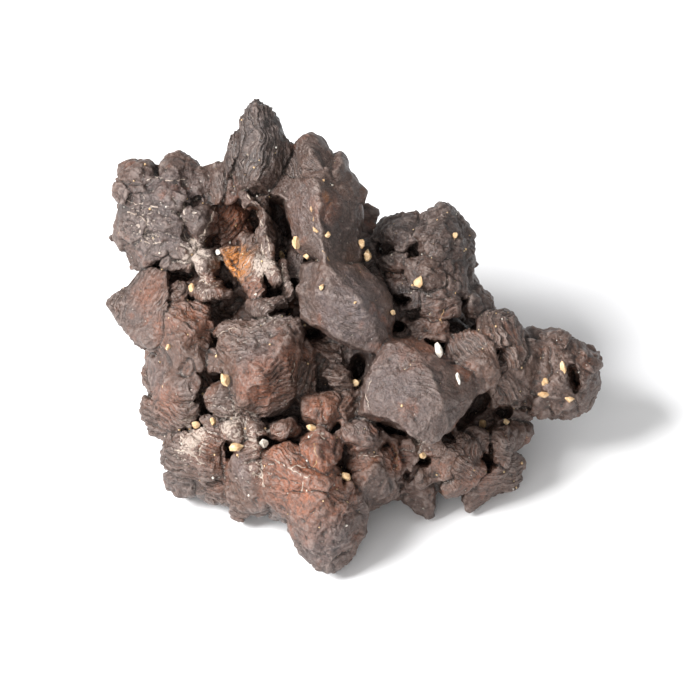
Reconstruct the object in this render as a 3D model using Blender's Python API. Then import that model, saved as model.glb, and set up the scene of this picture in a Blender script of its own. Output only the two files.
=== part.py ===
"""A prophecy stone: a cluster of dark, ledged iron-oxide crystals grown together into one piece.

The cluster is laid out as it is looked at, from in front and above. Every place in the layout is in
millimetres: across to the right, up the sight plane, and out towards the eye. The sight plane leans
back by LEAN, and the table is the plane through the origin of the layout.
"""

import math
import random
from typing import NamedTuple

import bmesh
import bpy
from mathutils import Matrix, Vector, noise

MM = 0.001
LEAN = math.radians(40)
# The stone is slid this far over the table, so that its bounding box stands over the origin.
CENTRE_SHIFT = (-0.57, -0.80)

# Every crystal is a stack of ledges with a squarish section of this many points.
SECTION_POINTS = 8
# A ledge rises steeply for this share of its height, and then steps in.
RISER_SHARE = 0.62
RISER_LEAN = 0.35
TIP_RADIUS = 0.10
CORNER_UNEVENNESS = 0.17
LEDGE_UNEVENNESS = 0.05
LEDGE_DRIFT = 0.05
TWIST_DEG = 7.0
TAIL_SHARE = 0.75

# The layout is looked at from this far off, at this height up the sight plane, in millimetres.
EYE_DISTANCE = 450.0
EYE_UP = 13.9
# A block's hidden root is this share of its outline.
ROOT_SHARE = 1.04

# The crystals are fused by a skin of this cell size, which is roughened and then faceted.
SKIN_CELL = 0.4 * MM
ROUGHNESS_WAVES = [(3.4 * MM, 0.5 * MM), (1.4 * MM, 0.22 * MM)]
FACET_SHARE = 0.0335
# The feet are cut level by a block of this size under the table's plane.
TABLE_BLOCK = 200 * MM

# The hidden sides are coated by a loop: directions facing the eye more than this are left to the list.
HIDDEN_ONLY = -0.2
BEHIND = 0.3
# A coating crystal starts at this share of the way out of the mass. The ranges give its size, its
# length past the mass and its depth, as shares, its bulge, and its turn in degrees.
COAT_ROOT_SHARE = 0.72
COAT_SIZES = (0.8, 1.2)
COAT_LENGTHS = (0.7, 1.1)
COAT_BULGES = (1.2, 1.7)
COAT_DEPTHS = (0.8, 1.1)
COAT_SPINS = (0, 90)
GOLDEN_ANGLE = math.pi * (3 - math.sqrt(5))

STONE_COLOUR = (0.085, 0.065, 0.060, 1.0)
STONE_ROUGHNESS = 0.55


class Crystal(NamedTuple):
    """One crystal, from the middle of its widest part to its tip."""

    heart: tuple
    tip: tuple
    wide: float
    deep: float
    spin: float = 0.0
    bulge: float = 1.3
    ledges: int = 3
    squareness: float = 0.78


class Block(NamedTuple):
    """One blocky crystal: its corners as they are seen, and how far out its hidden root lies."""

    corners: tuple
    root: float


def seen(across, up, out):
    """The place in the layout that is seen so far right of and above the middle of the view."""
    nearer = 1 - out / EYE_DISTANCE
    return Vector((across * nearer, EYE_UP + up * nearer, out))


def knob(heart, tip, wide):
    """A small rounded crystal end."""
    return Crystal(heart, tip, wide, wide, spin=20.0, bulge=2.0, ledges=2, squareness=0.9)


def by_table(x, y, z):
    """A place given by the table, x to the right, y to the back and z up, turned into the layout."""
    up = y * math.sin(LEAN) + z * math.cos(LEAN)
    out = z * math.sin(LEAN) - y * math.cos(LEAN)
    return (x, up, out)


# The masses inside, which the crystals stand on.
CORES = [
    Crystal((-4, 13, 7), (-4, 13, 17), 20, 14, 0, 2.4, 2, 0.95),
    Crystal((-16, 25, 6), (-16, 25, 12), 11, 8, 0, 2.4, 2, 0.95),
    Crystal((-7, 30, 6), (-7, 30, 12), 6, 9, 0, 2.4, 2, 0.95),
    Crystal((8, 23, 6), (8, 23, 11.5), 9, 7, 0, 2.4, 2, 0.95),
    Crystal((-2, 0, 12), (-2, 0, 19), 20, 8, 0, 2.4, 2, 0.95),
    Crystal((21, 11, 8), (21, 11, 14), 11, 5.5, 0, 2.4, 2, 0.95),
    Crystal((16, 2, 5), (16, 2, 11), 8, 8, 0, 2.4, 2, 0.95),
    Crystal((18, 10, 3), (18, 10, -4), 8, 8, 0, 2.2, 2, 0.95),
    Crystal((-22, 12, 8), (-22, 12, 15.5), 6.5, 12, 0, 2.4, 2, 0.95),
    Crystal((-12, 34, 2), (-12, 34, 8.5), 9, 7, 0, 2.4, 2, 0.95),
]

# The broad spearhead at the top, and its shoulders.
SPIRE = [
    Block(((-13.7, 35.9, 14.5), (-15.3, 34.3, 13.3), (-11.4, 34.4, 13.3), (-9.8, 32.6, 12.6),
           (-15.6, 31.4, 13.6), (-12.6, 30.0, 16.6), (-9.1, 30.0, 13.0), (-16.9, 27.1, 13.6),
           (-13.1, 24.6, 17.2), (-9.6, 25.7, 14.2), (-11.1, 21.4, 13.5), (-15.7, 22.1, 13.5)), 8),
    Block(((-15.7, 31.9, 12.8), (-17.1, 31.0, 12.2), (-17.7, 29.3, 12.2), (-18.0, 27.1, 12.4),
           (-16.3, 30.0, 14.2), (-16.6, 26.4, 15.0), (-17.4, 24.3, 13.5), (-15.0, 28.6, 14.8)), 8),
    Block(((-9.7, 32.3, 11.8), (-8.9, 30.4, 11.6), (-8.3, 29.1, 12.0), (-9.4, 29.3, 13.6),
           (-9.1, 26.4, 13.9), (-10.3, 25.0, 13.8), (-10.6, 30.0, 13.8)), 8),
    Block(((-21.3, 25.9, 10.0), (-18.0, 27.0, 11.0), (-17.4, 24.0, 13.0), (-18.4, 20.7, 13.4),
           (-21.0, 21.5, 12.5), (-19.2, 24.0, 13.2)), 2),
    Block(((-15.6, 24.4, 12.6), (-9.4, 24.4, 12.8), (-9.2, 21.0, 13.4), (-12.0, 19.6, 15.6),
           (-15.2, 20.6, 13.6)), 5),
    Block(((-9.0, 29.6, 11.4), (-7.4, 29.0, 12.4), (-7.0, 25.0, 15.0), (-9.0, 21.8, 15.0),
           (-9.8, 25.0, 13.4)), 4),
]

# The round cluster at the upper left: its mass, the knobs that end it, and the facets that face the eye.
LEFT_MASS = [
    Crystal((-25.4, 32.4, 3), (-25.4, 32.4, 15.2), 7.8, 7.8, 0, 4.5, 2, 0.95),
    knob((-28.5, 37.0, 5), (-30.8, 40.0, 6), 3.2),
    knob((-24.3, 38.0, 4.5), (-24.5, 42.0, 5), 3.4),
    knob((-30.0, 35.0, 5), (-33.2, 36.3, 5), 2.8),
    knob((-30.3, 31.8, 5), (-33.6, 31.6, 5), 3.0),
    knob((-28.5, 28.0, 6), (-31.2, 26.2, 5.5), 3.2),
    knob((-20.0, 35.5, 4), (-20.1, 38.9, 5), 3.0),
    knob((-20.8, 28.8, 8), (-20.8, 28.8, 14.8), 2.2),
]
LEFT_CLUSTER = [
    Block(((-33.0, 24.6, 9.5), (-30.2, 25.2, 12.0), (-27.4, 25.0, 12.6), (-27.3, 23.2, 13.6),
           (-29.8, 22.6, 13.8), (-32.8, 22.0, 11.0)), 5),
    Block(((-24.0, 25.4, 11.0), (-21.6, 25.0, 11.4), (-21.4, 22.2, 13.4), (-23.6, 21.6, 14.6)), 6),
    Block(((-32.1, 27.1, 9.0), (-30.7, 27.6, 9.5), (-28.6, 27.1, 10.5), (-28.2, 25.2, 12.8),
           (-29.8, 23.9, 13.4), (-32.6, 24.1, 11.2), (-33.1, 25.8, 9.2), (-30.5, 26.2, 12.8)), 4),
    Block(((-27.1, 27.4, 10.0), (-26.0, 28.3, 9.0), (-24.6, 28.4, 8.6), (-22.9, 27.4, 9.0),
           (-22.0, 26.0, 10.0), (-23.1, 24.3, 13.0), (-25.7, 24.0, 14.0), (-27.4, 25.4, 12.6),
           (-24.9, 26.4, 12.6)), 4),
    Block(((-22.0, 25.7, 10.6), (-19.7, 26.0, 10.2), (-18.3, 25.0, 10.6), (-18.3, 22.1, 11.6),
           (-20.7, 21.4, 13.4), (-22.3, 23.1, 13.4), (-20.4, 24.0, 13.0)), 4),
    Block(((-29.6, 22.9, 13.0), (-27.1, 24.3, 13.4), (-24.6, 24.3, 14.0), (-23.1, 22.9, 14.6),
           (-24.0, 20.7, 15.4), (-27.1, 20.3, 15.2), (-29.3, 20.7, 14.0), (-26.4, 22.4, 15.6)), 6),
    Block(((-23.7, 20.9, 14.4), (-19.7, 21.1, 13.6), (-18.7, 19.3, 13.4), (-19.3, 16.4, 14.0),
           (-21.7, 15.3, 15.0), (-23.4, 17.4, 15.4), (-21.2, 19.4, 16.2)), 6),
    Block(((-33.1, 20.7, 10.5), (-34.1, 17.9, 9.5), (-33.7, 15.7, 9.6), (-32.1, 14.3, 10.6),
           (-29.7, 15.7, 14.0), (-29.1, 18.6, 14.8), (-30.7, 20.6, 13.4), (-31.6, 18.0, 14.0)), 4),
    Block(((-33.7, 23.6, 10.4), (-32.3, 24.0, 12.0), (-31.0, 22.4, 13.2), (-31.8, 20.8, 13.0),
           (-33.4, 21.0, 10.8)), 5),
    Block(((-29.1, 19.7, 14.4), (-25.7, 20.3, 15.4), (-23.7, 18.3, 15.6), (-24.3, 15.7, 15.6),
           (-27.1, 15.4, 15.2), (-28.9, 16.9, 14.6), (-26.3, 18.0, 16.4)), 6),
    Block(((-32.1, 14.3, 10.4), (-30.0, 15.7, 13.6), (-26.9, 15.4, 14.8), (-26.4, 13.6, 14.4),
           (-29.3, 11.7, 12.0), (-30.7, 12.6, 11.0), (-29.0, 13.9, 14.0)), 5),
    Block(((-26.4, 15.4, 14.8), (-22.9, 15.4, 15.2), (-21.4, 14.0, 15.0), (-22.6, 12.3, 14.6),
           (-25.7, 12.6, 14.4), (-24.0, 14.0, 16.0)), 6),
]

# The tall crest right of the spire, with a saw edge, and the smooth block below it.
CREST = [
    Block(((-7.9, 29.4, 13.6), (-7.1, 30.7, 13.0), (-6.0, 31.3, 13.0), (-4.6, 30.9, 13.2),
           (-3.1, 28.9, 13.6), (-2.4, 27.1, 14.6), (-4.0, 25.7, 17.8), (-7.1, 26.4, 17.0),
           (-5.6, 28.7, 17.0)), 9),
    Block(((-2.6, 27.7, 14.0), (-1.4, 28.3, 13.6), (-0.6, 27.1, 13.8), (-0.4, 25.4, 14.6),
           (-1.7, 24.3, 17.6), (-2.9, 25.7, 17.6), (-1.7, 26.6, 16.8)), 9),
    Block(((-7.1, 25.7, 16.6), (-3.6, 26.4, 17.6), (-0.4, 25.7, 15.0), (1.7, 23.7, 13.6),
           (2.4, 22.9, 13.4), (1.1, 21.7, 15.8), (-2.9, 21.4, 19.0), (-4.6, 23.6, 19.4)), 10),
    Block(((-4.6, 24.6, 19.6), (-3.9, 21.0, 21.0), (-3.7, 12.6, 22.4), (-9.4, 22.0, 16.0),
           (-8.9, 18.0, 16.4), (-7.4, 14.0, 17.4), (1.9, 21.0, 14.6), (1.3, 18.0, 15.0),
           (1.6, 12.4, 16.0), (-8.0, 24.5, 16.6)), 10),
    Block(((1.4, 23.6, 13.6), (2.5, 22.9, 13.0), (2.3, 21.3, 13.0), (0.9, 20.6, 15.6),
           (1.2, 22.3, 16.0)), 10),
    Block(((0.7, 18.6, 14.0), (2.0, 17.0, 13.0), (1.7, 15.6, 13.0), (0.6, 15.0, 15.6),
           (1.0, 17.0, 15.6)), 10),
    Block(((-3.7, 12.6, 22.2), (1.7, 12.4, 17.0), (5.0, 9.7, 18.0), (6.0, 4.3, 19.0), (5.6, 1.0, 20.0),
           (4.3, -0.7, 21.0), (2.1, 6.9, 26.0), (-1.4, 1.3, 23.0), (-4.6, 2.9, 21.5), (-7.1, 4.6, 20.0),
           (-7.6, 8.6, 20.0), (-6.9, 12.0, 18.6), (-3.0, 8.0, 25.0)), 13),
    Block(((-11.1, 23.6, 13.0), (-9.6, 24.6, 13.6), (-7.6, 24.3, 15.6), (-7.7, 21.4, 16.6),
           (-9.4, 20.9, 16.6), (-11.0, 21.7, 15.0)), 9),
]

# The hollow between the left cluster, the spire and the crest, with thin plates standing in it.
HOLLOW = [
    Block(((-18.6, 21.0, 11.0), (-14.6, 21.0, 8.0), (-14.4, 15.0, 9.0), (-18.3, 14.3, 12.5),
           (-16.4, 18.0, 10.0)), 3),
    Block(((-18.4, 14.6, 15.4), (-14.9, 15.0, 14.0), (-14.9, 12.0, 14.4), (-16.4, 9.9, 15.4),
           (-17.6, 12.0, 16.4)), 8),
    Block(((-15.4, 16.3, 13.6), (-12.4, 16.4, 15.6), (-12.3, 12.0, 19.0), (-12.1, 8.0, 20.0),
           (-14.3, 7.1, 20.0), (-15.9, 10.0, 18.0), (-15.7, 13.0, 17.0)), 11),
    Block(((-15.6, 23.0, 15.6), (-14.6, 23.3, 15.8), (-12.0, 19.4, 18.6), (-10.6, 13.0, 19.6),
           (-11.6, 13.0, 19.2), (-13.2, 18.6, 18.2), (-13.6, 20.6, 18.6)), 11),
    Block(((-12.1, 15.3, 17.4), (-11.0, 15.0, 18.4), (-9.4, 9.6, 20.6), (-9.9, 8.3, 20.8),
           (-10.7, 8.6, 20.4), (-12.0, 12.4, 19.0)), 13),
    Block(((-9.6, 13.1, 17.4), (-8.7, 12.6, 18.4), (-8.3, 7.7, 20.6), (-9.0, 6.9, 20.8),
           (-9.7, 10.0, 19.4)), 13),
    Block(((-27.1, 13.0, 13.8), (-23.1, 13.4, 14.4), (-22.6, 12.0, 15.0), (-23.0, 11.0, 14.6),
           (-26.9, 11.3, 13.6)), 8),
    Block(((-22.0, 14.3, 14.6), (-19.1, 14.4, 14.4), (-18.3, 12.0, 15.6), (-19.4, 10.3, 16.4),
           (-21.4, 10.6, 16.0), (-22.3, 12.4, 15.6), (-20.4, 12.4, 17.2)), 9),
    Block(((-22.7, 9.7, 15.4), (-19.0, 10.1, 16.0), (-16.9, 9.3, 17.2), (-17.4, 7.4, 17.6),
           (-21.4, 7.0, 17.4), (-23.0, 8.0, 16.4), (-19.7, 8.9, 18.2)), 10),
    Block(((-25.7, 9.6, 13.4), (-23.4, 9.4, 14.4), (-23.3, 6.4, 16.0), (-25.3, 6.6, 15.4),
           (-24.4, 8.0, 16.0)), 9),
    Block(((-15.1, 7.0, 19.6), (-9.6, 7.3, 20.6), (-9.6, 5.0, 20.8), (-11.0, 4.3, 21.0),
           (-14.4, 4.9, 20.4), (-12.3, 6.3, 22.0)), 13),
    Block(((-8.9, 15.7, 13.0), (-6.7, 15.0, 15.0), (-6.4, 10.4, 17.4), (-8.0, 10.0, 17.6),
           (-8.6, 13.0, 16.0)), 9),
    Block(((-18.6, 25.4, 11.0), (-16.6, 25.0, 12.0), (-15.4, 22.0, 13.0), (-17.6, 20.6, 12.6),
           (-18.9, 22.4, 11.6), (-17.2, 23.4, 13.6)), 6),
]

# The pyramid that points left.
ARROW = [
    Block(((-34.6, 6.6, 10.6), (-33.1, 8.4, 10.8), (-29.9, 11.3, 11.4), (-28.6, 11.7, 12.0),
           (-26.4, 11.3, 14.6), (-26.0, 8.0, 16.6), (-25.9, 4.6, 16.4), (-28.1, -0.4, 14.6),
           (-30.0, 0.4, 12.6), (-33.3, 4.0, 10.8), (-29.4, 6.6, 15.0)), 5),
]

# The blocks below the arrow, on the left side.
LEFT_SIDE = [
    Block(((-27.1, 5.4, 15.0), (-23.6, 6.9, 15.8), (-20.3, 6.3, 16.4), (-19.6, 3.6, 17.6),
           (-19.9, 0.7, 18.4), (-20.7, -3.0, 18.4), (-25.0, -4.0, 17.0), (-27.9, 0.0, 14.0),
           (-28.1, 2.9, 13.6), (-24.3, 3.6, 20.0), (-22.4, 2.4, 20.6), (-24.4, 0.0, 20.0)), 8),
    Block(((-29.0, -1.0, 11.0), (-29.6, -4.3, 10.0), (-28.9, -6.4, 11.0), (-25.0, -2.9, 17.4),
           (-22.0, -3.0, 18.4), (-20.9, -5.0, 18.6), (-22.0, -7.4, 19.0), (-26.4, -7.4, 16.4),
           (-24.6, -5.0, 19.4)), 6),
    Block(((-29.3, -7.0, 11.0), (-29.7, -9.6, 10.0), (-28.4, -12.0, 11.0), (-26.0, -12.4, 13.0),
           (-22.9, -11.4, 17.6), (-20.9, -9.6, 18.6), (-21.6, -7.6, 18.6), (-26.0, -7.4, 17.0),
           (-24.6, -9.4, 19.0)), 6),
    Block(((-20.7, -6.4, 18.6), (-18.9, -4.9, 19.4), (-17.0, -5.4, 20.4), (-16.6, -8.6, 21.0),
           (-17.4, -10.0, 21.0), (-20.0, -9.0, 20.0), (-18.7, -7.0, 21.4)), 12),
    Block(((-20.9, 0.3, 17.0), (-18.7, 0.7, 18.0), (-17.6, -1.4, 19.0), (-18.0, -3.4, 19.4),
           (-20.0, -3.6, 18.6), (-19.3, -1.4, 19.6)), 11),
]

# The big pyramid that faces the eye, left of the middle, and the small pieces around it.
MIDDLE = [
    Block(((-19.6, 2.9, 19.4), (-18.3, 4.0, 19.8), (-14.3, 3.7, 21.0), (-10.7, 3.0, 22.0),
           (-7.4, 4.3, 21.4), (-6.9, 2.9, 21.2), (-7.0, -1.4, 22.0), (-7.3, -6.4, 22.0),
           (-8.6, -7.9, 21.8), (-14.3, -10.0, 21.6), (-16.7, -9.7, 21.0), (-17.1, -5.7, 21.4),
           (-18.3, -0.7, 20.4), (-12.6, -4.0, 27.4), (-14.3, -5.4, 26.6), (-9.6, 0.0, 25.4),
           (-7.7, -5.4, 23.4)), 12),
    Block(((-6.9, 1.4, 19.0), (-5.0, 0.0, 18.4), (-4.3, -4.3, 18.6), (-4.6, -7.4, 19.4),
           (-7.0, -7.4, 20.4), (-7.0, -3.0, 20.6)), 12),
    Block(((-4.6, 1.4, 16.0), (-1.4, 0.7, 17.0), (-0.7, -1.3, 18.0), (-3.0, -1.7, 19.0),
           (-4.9, 0.0, 18.0)), 11),
    Block(((-3.4, -1.6, 17.0), (0.0, -1.9, 17.6), (0.3, -5.0, 19.0), (-2.0, -5.6, 20.0),
           (-3.7, -4.0, 19.0), (-1.7, -3.6, 20.6)), 12),
    Block(((-7.0, -6.4, 20.0), (-3.6, -6.1, 20.4), (-0.7, -6.4, 20.0), (-0.6, -9.6, 21.0),
           (-3.0, -11.0, 22.0), (-6.6, -9.6, 22.0), (-4.0, -8.0, 23.0)), 14),
    Block(((-1.0, -5.3, 19.4), (1.6, -5.4, 19.0), (1.9, -9.0, 20.4), (0.0, -9.9, 21.6),
           (-1.1, -8.0, 21.4)), 13),
    Block(((-18.4, -10.6, 20.6), (-15.6, -10.1, 22.0), (-14.7, -12.0, 23.0), (-15.6, -13.9, 23.0),
           (-18.7, -13.0, 21.6), (-16.9, -11.9, 24.0)), 14),
    Block(((-14.7, -10.0, 22.4), (-11.9, -10.1, 22.8), (-11.0, -12.0, 23.0), (-13.0, -13.0, 23.6),
           (-14.9, -12.3, 23.4), (-13.0, -11.3, 24.6)), 14),
    Block(((-11.0, -10.0, 22.6), (-8.0, -9.3, 22.4), (-7.1, -11.4, 22.4), (-8.6, -13.0, 23.0),
           (-11.0, -12.6, 23.4), (-9.4, -11.0, 24.4)), 14),
    Block(((-15.0, -13.0, 23.0), (-12.7, -13.0, 23.6), (-12.9, -15.6, 24.6), (-14.9, -15.9, 24.4),
           (-15.6, -14.4, 23.8), (-14.0, -14.3, 25.0)), 15),
    Block(((-20.9, -9.9, 18.6), (-18.7, -10.0, 19.6), (-18.4, -12.3, 20.6), (-20.4, -12.3, 19.4),
           (-19.6, -11.0, 20.6)), 12),
]

# The smooth loaf-shaped block right of the middle, with the ledge above it.
LOAF = [
    Block(((5.0, 0.7, 23.0), (7.1, 1.1, 23.0), (10.7, -0.5, 23.6), (13.6, -1.7, 22.0), (16.9, -3.1, 19.6),
           (17.7, -6.4, 19.0), (16.0, -8.6, 21.4), (14.4, -11.4, 24.4), (11.7, -12.9, 25.2),
           (8.9, -12.0, 25.6), (6.4, -10.8, 25.2), (4.0, -9.4, 24.6), (1.9, -8.7, 24.0),
           (1.8, -5.4, 23.8), (3.1, -2.1, 23.4), (11.9, -3.6, 26.0), (13.4, -7.4, 26.6),
           (7.4, -7.4, 26.2)), 13),
    Block(((5.0, 1.4, 19.0), (9.0, 1.9, 18.0), (13.0, 0.0, 18.6), (14.6, -1.4, 19.6), (10.4, -0.9, 21.8),
           (6.0, 0.9, 21.0)), 13),
]

# The rough cluster at the upper right, and the broken ground below it.
RIGHT_MASS = [
    Crystal((11.6, 27.6, 3), (11.6, 27.6, 11), 4.6, 5.0, 0, 2.4, 2, 0.95),
    Crystal((7.6, 27.6, 3), (7.6, 27.6, 9), 4.2, 4.6, 0, 2.4, 2, 0.95),
]
RIGHT_CLUSTER = [
    Block(((16.4, 15.0, 8.0), (17.8, 14.4, 7.0), (18.0, 11.8, 7.5), (16.6, 11.6, 9.5)), 3),
    Block(((10.0, 19.4, 9.0), (11.4, 20.4, 8.0), (12.9, 21.4, 7.6), (14.6, 20.7, 7.6), (16.0, 18.9, 7.6),
           (17.1, 17.4, 7.4), (18.0, 16.0, 7.4), (17.6, 14.0, 8.6), (16.6, 12.6, 10.0),
           (13.6, 12.6, 14.6), (10.7, 13.6, 14.6), (9.3, 16.4, 13.4), (13.0, 17.6, 13.6),
           (15.0, 15.4, 13.4)), 3),
    Block(((3.7, 15.7, 7.0), (4.9, 17.9, 7.0), (6.9, 19.4, 7.4), (8.9, 19.7, 8.0), (10.0, 18.6, 10.0),
           (9.7, 15.7, 12.6), (7.9, 14.3, 12.0), (5.0, 15.0, 9.4), (7.0, 17.4, 11.6)), 2),
    Block(((3.3, 14.6, 7.0), (6.0, 14.0, 10.0), (8.6, 13.9, 12.4), (8.4, 11.4, 13.0), (5.0, 11.4, 11.6),
           (3.4, 12.6, 9.0)), 3),
    Block(((8.0, 13.4, 13.0), (12.0, 13.0, 14.8), (14.9, 12.4, 14.0), (15.4, 9.6, 14.0),
           (12.0, 8.6, 15.6), (8.6, 9.0, 14.6), (11.0, 11.0, 16.4)), 6),
    Block(((13.4, 12.4, 13.4), (16.4, 12.4, 10.4), (17.0, 9.4, 12.0), (16.6, 7.4, 13.0),
           (14.0, 7.4, 14.6), (14.6, 10.0, 15.0)), 6),
    Block(((16.1, 11.7, 9.6), (17.7, 11.1, 8.6), (18.3, 9.6, 9.0), (17.9, 8.4, 10.6),
           (16.3, 8.9, 12.0)), 5),
    Block(((16.7, 9.1, 11.0), (18.7, 9.3, 9.4), (20.0, 7.9, 8.8), (20.1, 6.1, 9.6), (19.0, 4.6, 11.0),
           (16.9, 5.0, 13.0), (17.4, 7.0, 13.4)), 5),
    Block(((5.4, 10.0, 12.0), (8.0, 10.0, 13.4), (10.0, 9.4, 14.4), (9.6, 6.4, 15.0), (7.0, 6.0, 14.4),
           (5.4, 7.6, 13.0)), 6),
    Block(((10.4, 8.6, 14.6), (13.4, 8.6, 15.0), (15.7, 7.4, 14.0), (15.0, 5.0, 15.0), (12.0, 4.4, 16.0),
           (10.4, 6.0, 15.6)), 7),
    Block(((8.0, 4.6, 14.6), (11.0, 4.9, 15.6), (14.0, 4.0, 16.0), (14.0, 1.4, 17.6), (10.0, 1.6, 17.0),
           (8.4, 3.0, 16.0)), 8),
    Block(((5.4, 5.0, 14.0), (8.0, 5.0, 14.4), (8.4, 2.0, 16.0), (6.4, 1.6, 16.6)), 8),
]

# The arm on the right.
RIGHT_ARM = [
    Block(((20.5, -6.5, 12.0), (25.0, -7.0, 11.0), (26.0, -9.6, 8.5), (23.6, -11.2, 9.5),
           (20.4, -11.0, 12.0)), 3),
    Block(((18.0, 4.6, 12.0), (19.6, 5.9, 11.6), (21.4, 5.9, 11.0), (23.6, 5.3, 11.0), (24.6, 3.6, 11.4),
           (24.4, 0.7, 14.6), (21.0, 0.0, 17.6), (18.6, 1.0, 17.0), (21.0, 3.4, 15.4)), 5),
    Block(((13.9, 2.6, 16.0), (17.6, 3.0, 16.6), (20.6, 1.0, 18.0), (21.4, -3.6, 18.4),
           (20.0, -7.1, 17.0), (17.4, -8.0, 17.6), (15.4, -4.4, 18.6), (14.0, -0.6, 18.4),
           (18.0, -1.6, 20.0)), 8),
    Block(((22.0, 2.9, 14.4), (25.0, 3.0, 11.6), (26.6, 1.7, 11.4), (27.7, 0.0, 12.0), (28.0, -3.6, 13.0),
           (26.0, -6.4, 14.0), (22.9, -7.6, 15.4), (21.0, -5.0, 17.6), (24.0, -1.6, 17.0)), 6),
    Block(((19.0, -5.6, 17.0), (22.0, -5.4, 16.6), (24.4, -6.0, 14.6), (23.0, -8.0, 14.4),
           (20.6, -8.9, 14.4), (19.0, -8.0, 15.4)), 8),
]

# The pitted block at the end of the arm.
ARM_END = [
    Block(((27.1, 2.0, 10.4), (28.9, 2.9, 9.0), (30.4, 2.9, 8.6), (33.3, 1.4, 8.4), (35.4, -0.4, 7.6),
           (35.7, -5.0, 7.4), (34.7, -8.3, 7.6), (31.6, -9.4, 8.6), (28.1, -9.3, 9.4), (26.1, -9.0, 10.6),
           (27.0, -4.0, 14.0), (29.4, 0.0, 13.6), (32.4, -1.4, 13.4), (33.6, -5.0, 12.6),
           (31.0, -7.4, 13.4), (28.6, -6.0, 14.4)), 4),
    Block(((28.0, 2.6, 10.0), (29.6, 3.1, 9.4), (31.4, 2.1, 10.0), (31.0, 0.6, 13.0),
           (28.7, 0.9, 13.0)), 6),
    Block(((32.3, 1.1, 9.0), (34.7, 0.0, 8.4), (35.7, -2.0, 8.6), (34.9, -3.7, 11.0), (32.7, -1.4, 13.0),
           (33.4, 0.0, 12.0)), 5),
    Block(((33.0, -5.0, 12.6), (35.6, -5.0, 8.6), (35.0, -7.9, 8.6), (33.0, -8.7, 10.0),
           (32.4, -7.0, 13.0)), 5),
    Block(((26.0, -7.0, 13.0), (28.0, -6.4, 13.6), (28.7, -9.0, 11.4), (27.4, -9.7, 10.6),
           (25.7, -8.9, 11.6)), 6),
]

# The blocks at the lower right, two of which are feet.
LOWER_RIGHT = [
    Block(((12.9, -14.0, 17.4), (15.0, -13.6, 17.6), (17.9, -15.0, 17.0), (19.6, -17.1, 15.6),
           (18.6, -20.0, 14.6), (13.9, -21.0, 16.0), (12.6, -18.6, 17.4), (15.7, -16.9, 20.6)), 9),
    Block(((14.9, -11.0, 17.0), (17.4, -10.7, 16.4), (19.4, -12.0, 16.0), (19.4, -15.0, 16.4),
           (16.0, -15.4, 18.4), (15.0, -13.0, 18.6), (17.0, -13.0, 18.8)), 9),
    Block(((20.0, -11.0, 14.6), (22.6, -11.0, 13.4), (23.7, -13.6, 13.4), (22.6, -17.0, 14.6),
           (20.4, -16.0, 16.0), (20.0, -13.0, 16.0), (21.7, -13.4, 16.6)), 7),
    Block(((22.9, -9.6, 10.6), (24.6, -9.6, 9.0), (25.9, -11.0, 8.4), (25.4, -12.9, 8.6),
           (24.4, -14.0, 9.0), (22.4, -15.0, 12.4), (22.9, -12.0, 13.0)), 3),
    Block(((23.0, -14.6, 11.4), (24.4, -15.4, 9.6), (24.4, -16.4, 9.6), (23.6, -20.0, 10.0),
           (19.9, -21.4, 11.4), (17.0, -22.9, 12.0), (16.1, -21.4, 13.6), (18.6, -19.4, 15.4),
           (21.0, -16.6, 15.6)), 4),
    Block(((8.0, -16.0, 16.0), (11.0, -15.0, 17.0), (12.9, -16.4, 17.0), (12.6, -20.0, 15.4),
           (11.9, -23.4, 13.0), (11.1, -23.9, 12.6), (9.6, -23.0, 13.0), (7.1, -21.1, 15.0),
           (10.1, -18.6, 18.0)), 8),
    Block(((9.9, -12.4, 17.6), (12.6, -12.4, 18.0), (13.3, -14.3, 18.4), (12.4, -15.6, 18.4),
           (10.0, -15.0, 18.6)), 11),
    Block(((7.6, -13.0, 18.4), (9.0, -12.7, 18.6), (10.0, -15.4, 19.0), (8.9, -17.3, 19.0),
           (7.6, -17.9, 18.6)), 12),
    Block(((5.9, -12.9, 19.0), (6.9, -12.7, 19.4), (7.4, -16.0, 20.4), (7.3, -18.0, 19.6),
           (6.0, -16.0, 19.4)), 12),
    Block(((0.0, -15.0, 22.0), (3.0, -14.6, 22.6), (5.6, -14.4, 21.6), (6.6, -17.4, 21.0),
           (6.9, -20.0, 19.4), (4.0, -21.6, 20.0), (1.0, -20.6, 22.4), (-0.4, -17.6, 23.4),
           (3.0, -17.0, 24.4)), 13),
    Block(((-1.6, -11.6, 23.0), (0.0, -10.0, 22.6), (2.6, -9.7, 22.0), (5.0, -11.0, 21.0),
           (5.9, -12.6, 20.4), (3.6, -14.6, 22.0), (1.0, -14.6, 24.0), (-1.4, -13.4, 24.4),
           (2.4, -12.3, 25.6)), 14),
    Block(((2.0, -20.0, 20.6), (6.0, -19.6, 18.6), (7.4, -21.0, 16.6), (4.6, -22.4, 17.0),
           (2.3, -23.4, 18.0), (1.6, -22.0, 20.0)), 10),
]

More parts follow.
